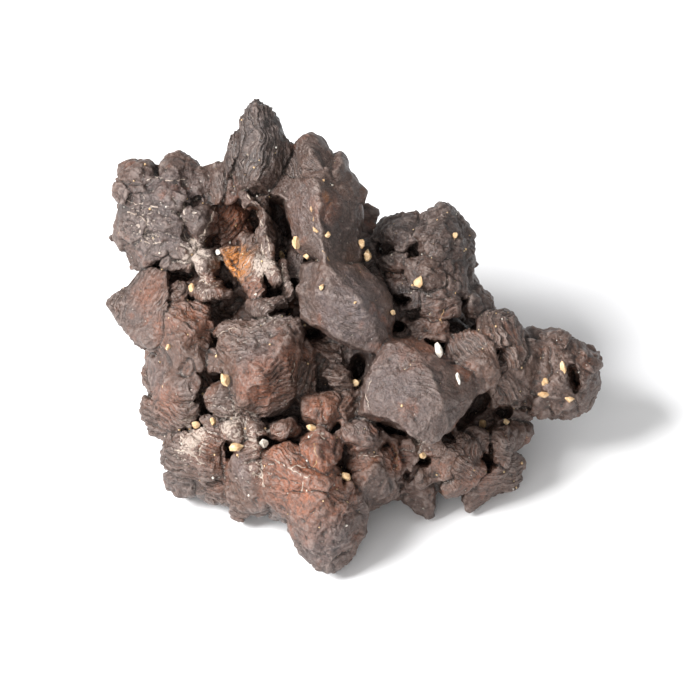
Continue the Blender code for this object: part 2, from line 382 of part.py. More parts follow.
# The long crystal that hangs forward over the table, and what surrounds its root.
FRONT_POINT = [
    Block(((-12.6, -15.0, 23.6), (-8.6, -13.6, 24.4), (-3.6, -15.0, 25.4), (-0.7, -17.9, 25.0),
           (2.1, -20.7, 23.0), (2.7, -23.6, 21.6), (-0.7, -24.3, 24.6), (-7.1, -24.3, 24.4),
           (-11.4, -23.6, 21.6), (-13.4, -20.0, 22.4), (-8.0, -17.0, 28.0), (-4.0, -19.0, 28.4),
           (-1.0, -21.6, 27.0)), 14),
    Block(((-9.3, -23.6, 23.0), (-8.6, -26.4, 23.0), (-7.1, -29.4, 22.6), (-5.3, -31.4, 22.6),
           (-2.6, -32.0, 23.0), (-0.7, -30.6, 22.6), (0.7, -28.3, 22.4), (1.9, -26.4, 22.0),
           (2.3, -24.3, 22.0), (-5.0, -25.7, 27.4), (-1.6, -26.0, 27.0), (-3.0, -29.0, 26.4),
           (-5.4, -28.6, 26.0), (-8.4, -20.6, 26.4), (-4.6, -20.0, 28.2), (-0.4, -21.4, 26.8)), 17),
    Block(((-6.9, -12.6, 23.6), (-4.6, -11.0, 24.0), (-2.0, -12.3, 24.4), (-1.6, -15.0, 25.4),
           (-3.6, -18.0, 27.0), (-6.0, -17.0, 27.0), (-6.6, -14.6, 25.6), (-4.3, -14.3, 28.0)), 17),
    Block(((-18.0, -14.6, 19.6), (-16.0, -13.9, 21.6), (-13.0, -15.0, 23.4), (-12.6, -19.0, 23.6),
           (-12.3, -23.4, 21.0), (-15.0, -23.4, 18.4), (-17.6, -21.4, 17.4), (-18.6, -17.6, 18.4),
           (-15.4, -18.0, 23.4)), 11),
    Block(((0.7, -23.0, 23.6), (2.6, -23.4, 21.6), (2.1, -25.9, 21.4), (0.6, -26.0, 23.6),
           (1.3, -24.0, 24.4)), 17),
]

# The lower left, with one foot.
LOWER_LEFT = [
    Block(((-26.3, -12.0, 15.4), (-24.0, -11.4, 17.0), (-20.0, -11.4, 19.0), (-18.4, -13.6, 20.0),
           (-18.6, -17.6, 19.4), (-20.6, -18.9, 18.6), (-25.0, -18.4, 15.6), (-26.6, -16.0, 14.0),
           (-26.4, -14.0, 14.4), (-22.6, -14.6, 21.0), (-21.0, -16.4, 20.6)), 8),
    Block(((-26.0, -17.4, 14.4), (-26.6, -18.6, 12.6), (-26.3, -19.7, 11.8), (-24.3, -21.0, 12.0),
           (-22.0, -21.0, 14.0), (-21.0, -18.6, 17.4), (-24.0, -18.4, 16.6)), 7),
    Block(((-22.4, -19.0, 16.4), (-18.6, -18.6, 18.0), (-17.0, -20.0, 18.0), (-16.9, -22.0, 16.6),
           (-20.0, -22.0, 14.6), (-22.0, -21.0, 14.4)), 8),
    Block(((-17.0, -20.6, 17.4), (-13.4, -21.0, 19.4), (-13.6, -23.0, 17.0), (-15.4, -24.6, 14.0),
           (-16.4, -23.6, 14.4)), 10),
    Block(((-12.6, -21.0, 22.0), (-9.6, -22.4, 23.4), (-9.4, -24.6, 22.0), (-11.6, -24.4, 20.0)), 14),
]

# The back and the underside, with the rear feet: places by the table, x to the right and y to the back.
BACK = [
    Crystal(by_table(-5, 12, 14.5), by_table(-5, 24, 14.5), 18, 14, 0, 2.4, 2, 0.95),
    Crystal(by_table(-4, 10, 10), by_table(-4, 4, 4), 18, 12, 0, 2.4, 2, 0.95),
    Crystal(by_table(-15, 16, 6), by_table(-17, 18, -2), 7, 6, 10, 1.5, 3),
    Crystal(by_table(-4, 22, 6), by_table(-4, 24, -2), 6, 6, 30, 1.5, 3),
    Crystal(by_table(8, 15, 6), by_table(9, 16, -2), 7, 6, 0, 1.5, 3),
    Crystal(by_table(-9, 22, 14), by_table(-11, 30, 15), 7, 6, 20, 1.3, 3),
    Crystal(by_table(4, 21, 12), by_table(6, 29, 12), 7, 6, 0, 1.3, 3),
    Crystal(by_table(-1, 22, 20), by_table(-1, 28, 24), 6, 6, 35, 1.3, 3),
    Crystal(by_table(-20, 14, 13), by_table(-27, 18, 12), 6, 6, 0, 1.3, 3),
    Crystal(by_table(14, 13, 12), by_table(20, 18, 11), 6, 6, 0, 1.3, 3),
    Crystal(by_table(-12, 2, 5), by_table(-13, 0, -2), 5, 5, 0, 1.5, 3),
    Crystal(by_table(4, 0, 5), by_table(4, -2, -2), 6, 5, 20, 1.5, 3),
]

# Masses that a loop coats with crystals: which mass, how many directions, their size, and which sides.
COATED = [
    (BACK[0], 60, 5.0, BEHIND),
    (BACK[1], 30, 4.8, HIDDEN_ONLY),
    (CORES[4], 30, 4.2, HIDDEN_ONLY),
    (CORES[5], 22, 3.6, HIDDEN_ONLY),
    (CORES[8], 22, 3.6, HIDDEN_ONLY),
    (LEFT_MASS[0], 44, 1.7, BEHIND),
    (RIGHT_MASS[0], 26, 2.0, BEHIND),
    (RIGHT_MASS[1], 26, 2.0, BEHIND),
]

LISTED = [
    *CORES, *SPIRE, *LEFT_MASS, *LEFT_CLUSTER, *CREST, *HOLLOW, *ARROW, *LEFT_SIDE, *MIDDLE, *LOAF,
    *RIGHT_MASS, *RIGHT_CLUSTER, *RIGHT_ARM, *ARM_END, *LOWER_RIGHT, *FRONT_POINT, *LOWER_LEFT, *BACK,
]


def table_frame():
    """The matrix from the layout, in millimetres, to the table's frame, in metres."""
    across = Vector((1, 0, 0))
    up = Vector((0, math.sin(LEAN), math.cos(LEAN)))
    out = Vector((0, -math.cos(LEAN), math.sin(LEAN)))
    turned = Matrix((across, up, out)).transposed().to_4x4()
    return turned @ Matrix.Scale(MM, 4)


def section_axes(axis):
    """Two directions square to the axis: one as level in the sight plane as it can be, and the other."""
    level = Vector((1, 0, 0)) if abs(axis.x) < 0.8 else Vector((0, 1, 0))
    side = (level - axis * level.dot(axis)).normalized()
    return side, axis.cross(side)


def stack_profile(crystal):
    """Pairs of height and radius, as shares, from the heart to the tip: one riser and one step a ledge."""
    heights = []
    for ledge in range(crystal.ledges):
        low, high = ledge / crystal.ledges, (ledge + 1) / crystal.ledges
        wider, narrower = (TIP_RADIUS + (1 - TIP_RADIUS) * (1 - h**crystal.bulge) for h in (low, high))
        heights.append((low, wider))
        heights.append((low + RISER_SHARE / crystal.ledges, wider + (narrower - wider) * RISER_LEAN))
    return heights


def grow_block(block):
    """A mesh of one block in layout millimetres: the hull of its corners and of their roots."""
    shape = bmesh.new()
    corners = [seen(*corner) for corner in block.corners]
    middle = sum(corners, Vector()) / len(corners)
    for corner in corners:
        shape.verts.new(corner)
        inner = middle + (corner - middle) * ROOT_SHARE
        shape.verts.new((inner.x, inner.y, block.root))
    found = bmesh.ops.convex_hull(shape, input=shape.verts)
    spare = {*found["geom_interior"], *found["geom_unused"]}
    hidden = [part for part in spare if isinstance(part, bmesh.types.BMVert)]
    bmesh.ops.delete(shape, geom=hidden, context="VERTS")
    bmesh.ops.recalc_face_normals(shape, faces=shape.faces)
    return shape


def grow_crystal(crystal, seed):
    """A mesh of one crystal in layout millimetres: rings of points, a blunt tip and a hidden tail."""
    chance = random.Random(seed)
    heart, tip = Vector(crystal.heart), Vector(crystal.tip)
    axis = (tip - heart).normalized()
    length = (tip - heart).length
    side, other = section_axes(axis)
    shape = bmesh.new()
    rings = []
    corners = [1 + chance.uniform(-CORNER_UNEVENNESS, CORNER_UNEVENNESS) for _ in range(SECTION_POINTS)]
    for height, radius in stack_profile(crystal):
        drift = side * chance.uniform(-1, 1) + other * chance.uniform(-1, 1)
        middle = heart + axis * (height * length) + drift * (LEDGE_DRIFT * crystal.wide * height)
        twist = crystal.spin + chance.uniform(-TWIST_DEG, TWIST_DEG)
        ring = []
        for point in range(SECTION_POINTS):
            turn = math.radians(360 * point / SECTION_POINTS)
            corner = corners[point] * (1.0 if point % 2 == 0 else crystal.squareness)
            reach = radius * corner * (1 + chance.uniform(-LEDGE_UNEVENNESS, LEDGE_UNEVENNESS))
            flat = Vector((crystal.wide * reach * math.cos(turn), crystal.deep * reach * math.sin(turn)))
            flat.rotate(Matrix.Rotation(math.radians(twist), 2))
            ring.append(shape.verts.new(middle + side * flat.x + other * flat.y))
        rings.append(ring)
    tail = shape.verts.new(heart - axis * TAIL_SHARE * min(crystal.wide, crystal.deep))
    point_of = shape.verts.new(tip)
    for low, high in zip(rings, rings[1:]):
        for i in range(SECTION_POINTS):
            j = (i + 1) % SECTION_POINTS
            shape.faces.new((low[i], low[j], high[j], high[i]))
    for i in range(SECTION_POINTS):
        j = (i + 1) % SECTION_POINTS
        shape.faces.new((rings[0][j], rings[0][i], tail))
        shape.faces.new((rings[-1][i], rings[-1][j], point_of))
    bmesh.ops.triangulate(shape, faces=shape.faces)
    return shape


def far_half(mass):
    """The other half of a mass, behind its heart."""
    heart, tip = Vector(mass.heart), Vector(mass.tip)
    return mass._replace(tip=tuple(2 * heart - tip))


def coat(mass, directions, size, facing):
    """Crystals standing all over a mass, but for the side that faces the eye more than facing."""
    heart = Vector(mass.heart)
    axis = Vector(mass.tip) - heart
    side, other = section_axes(axis.normalized())
    chance = random.Random(directions)
    found = []
    for step in range(directions):
        out = 1 - 2 * (step + 0.5) / directions
        turn = step * GOLDEN_ANGLE
        level = math.sqrt(1 - out * out)
        way = Vector((level * math.cos(turn), level * math.sin(turn), out))
        reach = side * (way.x * mass.wide) + other * (way.y * mass.deep) + axis * way.z
        way = reach.normalized()
        if way.z > facing:
            continue
        wide = size * chance.uniform(*COAT_SIZES)
        root = heart + reach * COAT_ROOT_SHARE
        tip = heart + reach + way * wide * chance.uniform(*COAT_LENGTHS)
        bulge = chance.uniform(*COAT_BULGES)
        deep = wide * chance.uniform(*COAT_DEPTHS)
        found.append(Crystal(tuple(root), tuple(tip), wide, deep, chance.uniform(*COAT_SPINS), bulge))
    return found


def outer_shell(shape):
    """Deletes every loose part of a bmesh but the widest, so that no sealed hollow is left."""
    waiting = set(shape.verts)
    shells = []
    while waiting:
        front = [waiting.pop()]
        shell = []
        while front:
            vert = front.pop()
            shell.append(vert)
            for edge in vert.link_edges:
                near = edge.other_vert(vert)
                if near in waiting:
                    waiting.remove(near)
                    front.append(near)
        shells.append(shell)
    widest = max(shells, key=lambda shell: max(v.co.x for v in shell) - min(v.co.x for v in shell))
    for shell in shells:
        if shell is not widest:
            bmesh.ops.delete(shape, geom=shell, context="VERTS")


def evaluated(obj):
    """A bmesh of an object with its modifiers."""
    shape = bmesh.new()
    shape.from_object(obj, bpy.context.evaluated_depsgraph_get())
    return shape


def roughen(shape):
    """Moves each point along its normal by two sizes of noise."""
    shape.normal_update()
    moves = []
    for vert in shape.verts:
        lift = sum(noise.noise(vert.co / size) * height for size, height in ROUGHNESS_WAVES)
        moves.append(vert.normal * lift)
    for vert, move in zip(shape.verts, moves):
        vert.co += move


def mesh_object(name, shape, collection):
    """A mesh object made from a bmesh, which is freed."""
    mesh = bpy.data.meshes.new(name)
    shape.to_mesh(mesh)
    shape.free()
    made = bpy.data.objects.new(name, mesh)
    collection.objects.link(made)
    return made


def as_helper(obj):
    """Marks an object that only shapes the stone."""
    obj.hide_render = True
    obj.display_type = "WIRE"


def stone_material():
    """Dark brown iron oxide with a dull shine."""
    material = bpy.data.materials.new("iron_oxide")
    material.use_nodes = True
    shader = material.node_tree.nodes["Principled BSDF"]
    shader.inputs["Base Color"].default_value = STONE_COLOUR
    shader.inputs["Roughness"].default_value = STONE_ROUGHNESS
    shader.inputs["Metallic"].default_value = 0.0
    return material


def main():
    """Clears the scene and builds the stone as one solid that stands on the table."""
    for obj in list(bpy.data.objects):
        bpy.data.objects.remove(obj)
    scene = bpy.context.scene.collection
    place = table_frame()

    crystals = list(LISTED)
    for mass, directions, size, facing in COATED:
        crystals += [far_half(mass), *coat(mass, directions, size, facing)]
    growth = bmesh.new()
    for number, crystal in enumerate(crystals):
        shape = grow_block(crystal) if isinstance(crystal, Block) else grow_crystal(crystal, number)
        single = bpy.data.meshes.new("crystal")
        shape.to_mesh(single)
        shape.free()
        growth.from_mesh(single)
        bpy.data.meshes.remove(single)
    growth.transform(place)
    loose = mesh_object("crystals", growth, scene)
    as_helper(loose)
    fuse = loose.modifiers.new("grown together", "REMESH")
    fuse.mode = "VOXEL"
    fuse.voxel_size = SKIN_CELL

    skin = evaluated(loose)
    outer_shell(skin)
    roughen(skin)
    stone = mesh_object("stone", skin, scene)
    facet = stone.modifiers.new("facets", "DECIMATE")
    facet.ratio = FACET_SHARE

    block = bmesh.new()
    bmesh.ops.create_cube(block, size=TABLE_BLOCK)
    block.transform(Matrix.Translation((0, 0, -TABLE_BLOCK / 2)))
    table = mesh_object("table", block, scene)
    as_helper(table)
    cut = stone.modifiers.new("worn feet", "BOOLEAN")
    cut.operation = "DIFFERENCE"
    cut.object = table
    cut.solver = "EXACT"

    stone.location = (CENTRE_SHIFT[0] * MM, CENTRE_SHIFT[1] * MM, 0)
    stone.data.materials.append(stone_material())


main()
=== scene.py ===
"""The prophecy stone, dressed: a fine skin of ledged crystals, lodged sand, pale crusts and a plain studio.

The stone is laid out as it is looked at, from in front and above. Places in the layout are in millimetres:
across to the right, up the sight plane, and out towards the eye. The sight plane leans back by LEAN.
"""

import logging
import math
import random
from dataclasses import dataclass, field, replace
from enum import Enum, IntEnum
from typing import Iterator, Optional, Sequence, Union

import bmesh
import bpy
import numpy as np
from mathutils import Matrix, Vector, noise
from mathutils.bvhtree import BVHTree


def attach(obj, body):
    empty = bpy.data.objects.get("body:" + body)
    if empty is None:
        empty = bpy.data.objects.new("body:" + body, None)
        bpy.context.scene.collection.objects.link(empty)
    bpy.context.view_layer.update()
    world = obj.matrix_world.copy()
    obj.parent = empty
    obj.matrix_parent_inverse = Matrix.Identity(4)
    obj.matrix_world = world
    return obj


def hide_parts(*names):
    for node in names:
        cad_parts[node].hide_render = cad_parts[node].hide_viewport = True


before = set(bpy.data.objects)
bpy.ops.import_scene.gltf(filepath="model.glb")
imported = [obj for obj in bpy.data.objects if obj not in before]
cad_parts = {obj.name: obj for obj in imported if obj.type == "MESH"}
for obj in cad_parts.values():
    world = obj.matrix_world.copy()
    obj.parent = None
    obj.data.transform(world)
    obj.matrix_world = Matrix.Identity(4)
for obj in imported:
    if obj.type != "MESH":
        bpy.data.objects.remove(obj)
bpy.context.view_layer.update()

LOG = logging.getLogger("prophecy_stone")
STONE_NODE = "stone"
BODY = "root"

MM = 0.001
LEAN = math.radians(40)
# The stone is slid this far over the table, in millimetres, so that its box stands over the origin.
CENTRE_SHIFT = (-0.57, -0.80)

# A crystal is a stack of ledges with a squarish section of this many points.
SECTION_POINTS = 8
RISER_SHARE = 0.62
RISER_LEAN = 0.35
TIP_RADIUS = 0.10
CORNER_UNEVENNESS = 0.17
LEDGE_UNEVENNESS = 0.05
LEDGE_DRIFT = 0.05
TWIST_DEG = 7.0
TAIL_SHARE = 0.75
# A crystal whose axis runs more than this across the picture takes the upright as its level direction.
NEARLY_ACROSS = 0.8
# No distance is measured from a radius under this share, or from a reach under this share.
SLIMMEST = 0.08
TINY = 1e-6
FAR = 1e9
# Blocks are taken to have grown this way in the layout.
OUT_AND_UP = (0.0, 0.8, 0.6)
GOLDEN_ANGLE = math.pi * (3 - math.sqrt(5))

# How far a mass is coated round towards the eye: the height of the facing direction where the coat ends.
HIDDEN_ONLY = -0.2
BEHIND = 0.3
# A coating crystal starts at this share of the way out of the mass. The ranges give its size, its length
# past the mass and its depth, as shares, its bulge, and its turn in degrees.
COAT_ROOT_SHARE = 0.72
COAT_SIZES = (0.8, 1.2)
COAT_LENGTHS = (0.7, 1.1)
COAT_BULGES = (1.2, 1.7)
COAT_DEPTHS = (0.8, 1.1)
COAT_SPINS = (0, 90)

# From the eye to the sight plane, and how far up the plane the eye looks, in millimetres.
EYE_DISTANCE = 450.0
EYE_UP = 13.9
# A block's hidden root is this share of its outline.
ROOT_SHARE = 1.04

Place = tuple[float, float, float]
Colour = tuple[float, float, float, float]
Range = tuple[float, float]


class Seed(IntEnum):
    """The first number of each kind of unevenness, so that no two kinds fall together."""

    GROWTH = 5
    SCATTER = 7
    VEIN = 11
    WANDER = 20
    PATCHINESS = 31
    FINE_PATCHINESS = 32
    SEAM = 41
    KNOB = 51
    WEAR = 60
    STAIN = 70
    SHAKE = 80
    WARP = 84
    PIT = 90
    FACET = 100
    PEBBLE = 1000


@dataclass(frozen=True)
class Relief:
    """How strongly each kind of relief shows, as shares.

    Args:
        growth: steps of growth.
        facets: flat facets that lean every way.
        bumps: small knobs.
        wear: weathering.
        seams: grooves where crystals meet.
    """

    growth: float
    facets: float
    bumps: float
    wear: float
    seams: float


class Surface(Enum):
    """What the faces of a crystal are like."""

    LEDGED = Relief(0.9, 0.8, 0.5, 0.9, 1.0)
    RIBBED = Relief(1.0, 0.5, 0.3, 0.8, 0.8)
    KNOBBY = Relief(0.4, 1.1, 1.2, 1.0, 0.6)
    FACETED = Relief(0.2, 1.4, 0.2, 0.5, 0.7)
    SMOOTH = Relief(0.35, 0.45, 0.2, 0.6, 0.3)
    WORN = Relief(0.6, 1.0, 0.4, 1.1, 0.5)


@dataclass(frozen=True)
class Crystal:
    """One crystal, from the middle of its widest part, its heart, to its tip.

    Args:
        heart: middle of the widest part, in the layout.
        tip: the blunt end, in the layout.
        wide: half width, across the sight plane where that is possible.
        deep: half width the other way.
        spin: turn of the section about the axis, in degrees.
        bulge: 1 for straight sides, more for rounder ones.
        ledges: how many coarse ledges the solid has.
        squareness: reach of the middles of the sides, for corners of 1.
    """

    heart: Place
    tip: Place
    wide: float
    deep: float
    spin: float = 0.0
    bulge: float = 1.3
    ledges: int = 3
    squareness: float = 0.78

    def middle(self) -> Vector:
        """The point half way from heart to tip."""
        return (Vector(self.heart) + Vector(self.tip)) / 2

    def reach(self) -> float:
        """How far the crystal reaches from its middle, at most."""
        return self.length() / 2 + max(self.wide, self.deep)

    def axis(self) -> Vector:
        """The direction from heart to tip."""
        return (Vector(self.tip) - Vector(self.heart)).normalized()

    def length(self) -> float:
        """The distance from heart to tip."""
        return (Vector(self.tip) - Vector(self.heart)).length

    def section_axes(self) -> tuple[Vector, Vector]:
        """Two directions square to the axis: the first as level in the sight plane as it can be."""
        axis = self.axis()
        level = Vector((1, 0, 0)) if abs(axis.x) < NEARLY_ACROSS else Vector((0, 1, 0))
        side = (level - axis * level.dot(axis)).normalized()
        return side, axis.cross(side)

    def far_half(self) -> "Crystal":
        """The other half of a mass, behind its heart."""
        return replace(self, tip=tuple(2 * Vector(self.heart) - Vector(self.tip)))

    def profile(self) -> list[tuple[float, float]]:
        """Pairs of height and radius, as shares, from the heart to the tip."""
        heights = []
        for ledge in range(self.ledges):
            low, high = ledge / self.ledges, (ledge + 1) / self.ledges
            wider, narrower = (TIP_RADIUS + (1 - TIP_RADIUS) * (1 - h**self.bulge) for h in (low, high))
            heights.append((low, wider))
            heights.append((low + RISER_SHARE / self.ledges, wider + (narrower - wider) * RISER_LEAN))
        return heights

    def add_to(self, shape: bmesh.types.BMesh, seed: int) -> None:
        """Adds the closed crystal to a mesh in layout millimetres.

        Args:
            shape: the mesh that gets it.
            seed: the crystal's number, which settles its unevenness.
        """
        chance = random.Random(seed)
        heart, tip, axis, length = Vector(self.heart), Vector(self.tip), self.axis(), self.length()
        side, other = self.section_axes()
        corners = [1 + chance.uniform(-CORNER_UNEVENNESS, CORNER_UNEVENNESS) for _ in range(SECTION_POINTS)]
        rings = []
        for height, radius in self.profile():
            drift = side * chance.uniform(-1, 1) + other * chance.uniform(-1, 1)
            middle = heart + axis * (height * length) + drift * (LEDGE_DRIFT * self.wide * height)
            twist = self.spin + chance.uniform(-TWIST_DEG, TWIST_DEG)
            ring = []
            for point in range(SECTION_POINTS):
                turn = math.radians(360 * point / SECTION_POINTS)
                corner = corners[point] * (1.0 if point % 2 == 0 else self.squareness)
                reach = radius * corner * (1 + chance.uniform(-LEDGE_UNEVENNESS, LEDGE_UNEVENNESS))
                flat = Vector((self.wide * reach * math.cos(turn), self.deep * reach * math.sin(turn)))
                flat.rotate(Matrix.Rotation(math.radians(twist), 2))
                ring.append(shape.verts.new(middle + side * flat.x + other * flat.y))
            rings.append(ring)
        tail = shape.verts.new(heart - axis * TAIL_SHARE * min(self.wide, self.deep))
        end = shape.verts.new(tip)
        for low, high in zip(rings, rings[1:]):
            for i in range(SECTION_POINTS):
                j = (i + 1) % SECTION_POINTS
                shape.faces.new((low[i], low[j], high[j], high[i]))
        for i in range(SECTION_POINTS):
            j = (i + 1) % SECTION_POINTS
            shape.faces.new((rings[0][j], rings[0][i], tail))
            shape.faces.new((rings[-1][i], rings[-1][j], end))

    def beyond(self, points: np.ndarray) -> np.ndarray:
        """How far each point lies outside the crystal, in millimetres, roughly.

        Args:
            points: places in the layout, one a row.

        Returns:
            One distance a point, negative inside.
        """
        side, other = self.section_axes()
        away = points - np.array(self.heart)
        height = away @ np.array(self.axis()) / self.length()
        x, y = away @ np.array(side), away @ np.array(other)
        spin = math.radians(self.spin)
        x, y = x * math.cos(spin) + y * math.sin(spin), y * math.cos(spin) - x * math.sin(spin)
        radius = TIP_RADIUS + (1 - TIP_RADIUS) * (1 - np.clip(height, 0, 1) ** self.bulge)
        radius = np.maximum(radius, SLIMMEST)
        x = x / (self.wide * radius)
        y = y / (self.deep * radius)
        reach = np.hypot(x, y)
        corner = 2 * x * y / np.maximum(reach, TINY) ** 2
        reach = reach / (1 - (1 - self.squareness) * corner**2)
        outside = (reach - 1) * radius * min(self.wide, self.deep)
        over = np.maximum(height - 1, 0) * self.length()
        under = np.maximum(-height * self.length() - TAIL_SHARE * min(self.wide, self.deep), 0)
        return outside + over + under


@dataclass(frozen=True)
class Block:
    """One blocky crystal with flat sides between the corners that are seen.

    Args:
        corners: where each corner is seen, right of and above the middle of the picture, and how far
            out it lies.
        root: how far out its hidden root lies.
    """

    corners: tuple[Place, ...]
    root: float

    def placed(self) -> list[Vector]:
        """The corners in the layout."""
        return [seen(*corner) for corner in self.corners]

    def middle(self) -> Vector:
        """The middle of the corners."""
        placed = self.placed()
        return sum(placed, Vector()) / len(placed)

    def reach(self) -> float:
        """How far the block reaches from its middle, at most."""
        middle = self.middle()
        return max((corner - middle).length for corner in self.placed()) + middle.z - self.root

    def axis(self) -> Vector:
        """The direction in which the block grew, out and up."""
        return Vector(OUT_AND_UP)

    def hull(self) -> bmesh.types.BMesh:
        """Closes the block over its corners and their hidden roots.

        Returns:
            A new mesh in the layout, with its normals.
        """
        shape = bmesh.new()
        middle = self.middle()
        for corner in self.placed():
            shape.verts.new(corner)
            inner = middle + (corner - middle) * ROOT_SHARE
            shape.verts.new((inner.x, inner.y, self.root))
        found = bmesh.ops.convex_hull(shape, input=shape.verts)
        spare = {*found["geom_interior"], *found["geom_unused"]}
        hidden = [part for part in spare if isinstance(part, bmesh.types.BMVert)]
        bmesh.ops.delete(shape, geom=hidden, context="VERTS")
        bmesh.ops.recalc_face_normals(shape, faces=shape.faces)
        shape.normal_update()
        return shape

    def add_to(self, shape: bmesh.types.BMesh, seed: int) -> None:
        """Adds the closed block to a mesh in layout millimetres; the seed changes nothing."""
        own = self.hull()
        copied = {vert: shape.verts.new(vert.co) for vert in own.verts}
        for face in own.faces:
            shape.faces.new([copied[vert] for vert in face.verts])
        own.free()

    def beyond(self, points: np.ndarray) -> np.ndarray:
        """How far each point lies outside the block, in millimetres.

        Args:
            points: places in the layout, one a row.

        Returns:
            One distance a point, negative inside.
        """
        own = self.hull()
        outside = np.full(len(points), -FAR)
        for face in own.faces:
            over = points @ np.array(face.normal) - face.normal.dot(face.verts[0].co)
            outside = np.maximum(outside, over)
        own.free()
        return outside


def seen(across: float, up: float, out: float) -> Vector:
    """The place in the layout that is seen so far right of and above the middle of the picture."""
    nearer = 1 - out / EYE_DISTANCE
    return Vector((across * nearer, EYE_UP + up * nearer, out))


def knob(heart: Place, tip: Place, wide: float) -> Crystal:
    """A small rounded crystal end."""
    return Crystal(heart, tip, wide, wide, spin=20.0, bulge=2.0, ledges=2, squareness=0.9)


def by_table(x: float, y: float, z: float) -> Place:
    """A place given by the table, x to the right, y to the back and z up, turned into the layout."""
    return (x, y * math.sin(LEAN) + z * math.cos(LEAN), z * math.sin(LEAN) - y * math.cos(LEAN))


def coat(mass: Crystal, directions: int, size: float, facing: float) -> list[Crystal]:
    """Crystals standing all over a mass, but for the side that faces the eye more than facing.

    Args:
        mass: what they stand on.
        directions: how many directions are tried all round.
        size: their half width, about.
        facing: where the coat ends.

    Returns:
        The crystals.
    """
    heart = Vector(mass.heart)
    axis = Vector(mass.tip) - heart
    side, other = mass.section_axes()
    chance = random.Random(directions)
    found = []
    for step in range(directions):
        out = 1 - 2 * (step + 0.5) / directions
        turn = step * GOLDEN_ANGLE
        level = math.sqrt(1 - out * out)
        way = Vector((level * math.cos(turn), level * math.sin(turn), out))
        reach = side * (way.x * mass.wide) + other * (way.y * mass.deep) + axis * way.z
        way = reach.normalized()
        if way.z > facing:
            continue
        wide = size * chance.uniform(*COAT_SIZES)
        root = heart + reach * COAT_ROOT_SHARE
        tip = heart + reach + way * wide * chance.uniform(*COAT_LENGTHS)
        bulge = chance.uniform(*COAT_BULGES)
        deep = wide * chance.uniform(*COAT_DEPTHS)
        found.append(Crystal(tuple(root), tuple(tip), wide, deep, chance.uniform(*COAT_SPINS), bulge))
    return found


# The masses inside, which the crystals stand on.
CORES = [
    Crystal((-4, 13, 7), (-4, 13, 17), 20, 14, 0, 2.4, 2, 0.95),
    Crystal((-16, 25, 6), (-16, 25, 12), 11, 8, 0, 2.4, 2, 0.95),
    Crystal((-7, 30, 6), (-7, 30, 12), 6, 9, 0, 2.4, 2, 0.95),
    Crystal((8, 23, 6), (8, 23, 11.5), 9, 7, 0, 2.4, 2, 0.95),
    Crystal((-2, 0, 12), (-2, 0, 19), 20, 8, 0, 2.4, 2, 0.95),
    Crystal((21, 11, 8), (21, 11, 14), 11, 5.5, 0, 2.4, 2, 0.95),
    Crystal((16, 2, 5), (16, 2, 11), 8, 8, 0, 2.4, 2, 0.95),
    Crystal((18, 10, 3), (18, 10, -4), 8, 8, 0, 2.2, 2, 0.95),
    Crystal((-22, 12, 8), (-22, 12, 15.5), 6.5, 12, 0, 2.4, 2, 0.95),
    Crystal((-12, 34, 2), (-12, 34, 8.5), 9, 7, 0, 2.4, 2, 0.95),
]

# The broad spearhead at the top, and its shoulders.
SPIRE = [
    Block(((-13.7, 35.9, 14.5), (-15.3, 34.3, 13.3), (-11.4, 34.4, 13.3), (-9.8, 32.6, 12.6),
        (-15.6, 31.4, 13.6), (-12.6, 30, 16.6), (-9.1, 30, 13), (-16.9, 27.1, 13.6), (-13.1, 24.6, 17.2),
        (-9.6, 25.7, 14.2), (-11.1, 21.4, 13.5), (-15.7, 22.1, 13.5)), 8),
    Block(((-15.7, 31.9, 12.8), (-17.1, 31, 12.2), (-17.7, 29.3, 12.2), (-18, 27.1, 12.4),
        (-16.3, 30, 14.2), (-16.6, 26.4, 15), (-17.4, 24.3, 13.5), (-15, 28.6, 14.8)), 8),
    Block(((-9.7, 32.3, 11.8), (-8.9, 30.4, 11.6), (-8.3, 29.1, 12), (-9.4, 29.3, 13.6), (-9.1, 26.4, 13.9),
        (-10.3, 25, 13.8), (-10.6, 30, 13.8)), 8),
    Block(((-21.3, 25.9, 10), (-18, 27, 11), (-17.4, 24, 13), (-18.4, 20.7, 13.4), (-21, 21.5, 12.5),
        (-19.2, 24, 13.2)), 2),
    Block(((-15.6, 24.4, 12.6), (-9.4, 24.4, 12.8), (-9.2, 21, 13.4), (-12, 19.6, 15.6),
        (-15.2, 20.6, 13.6)), 5),
    Block(((-9, 29.6, 11.4), (-7.4, 29, 12.4), (-7, 25, 15), (-9, 21.8, 15), (-9.8, 25, 13.4)), 4),
]

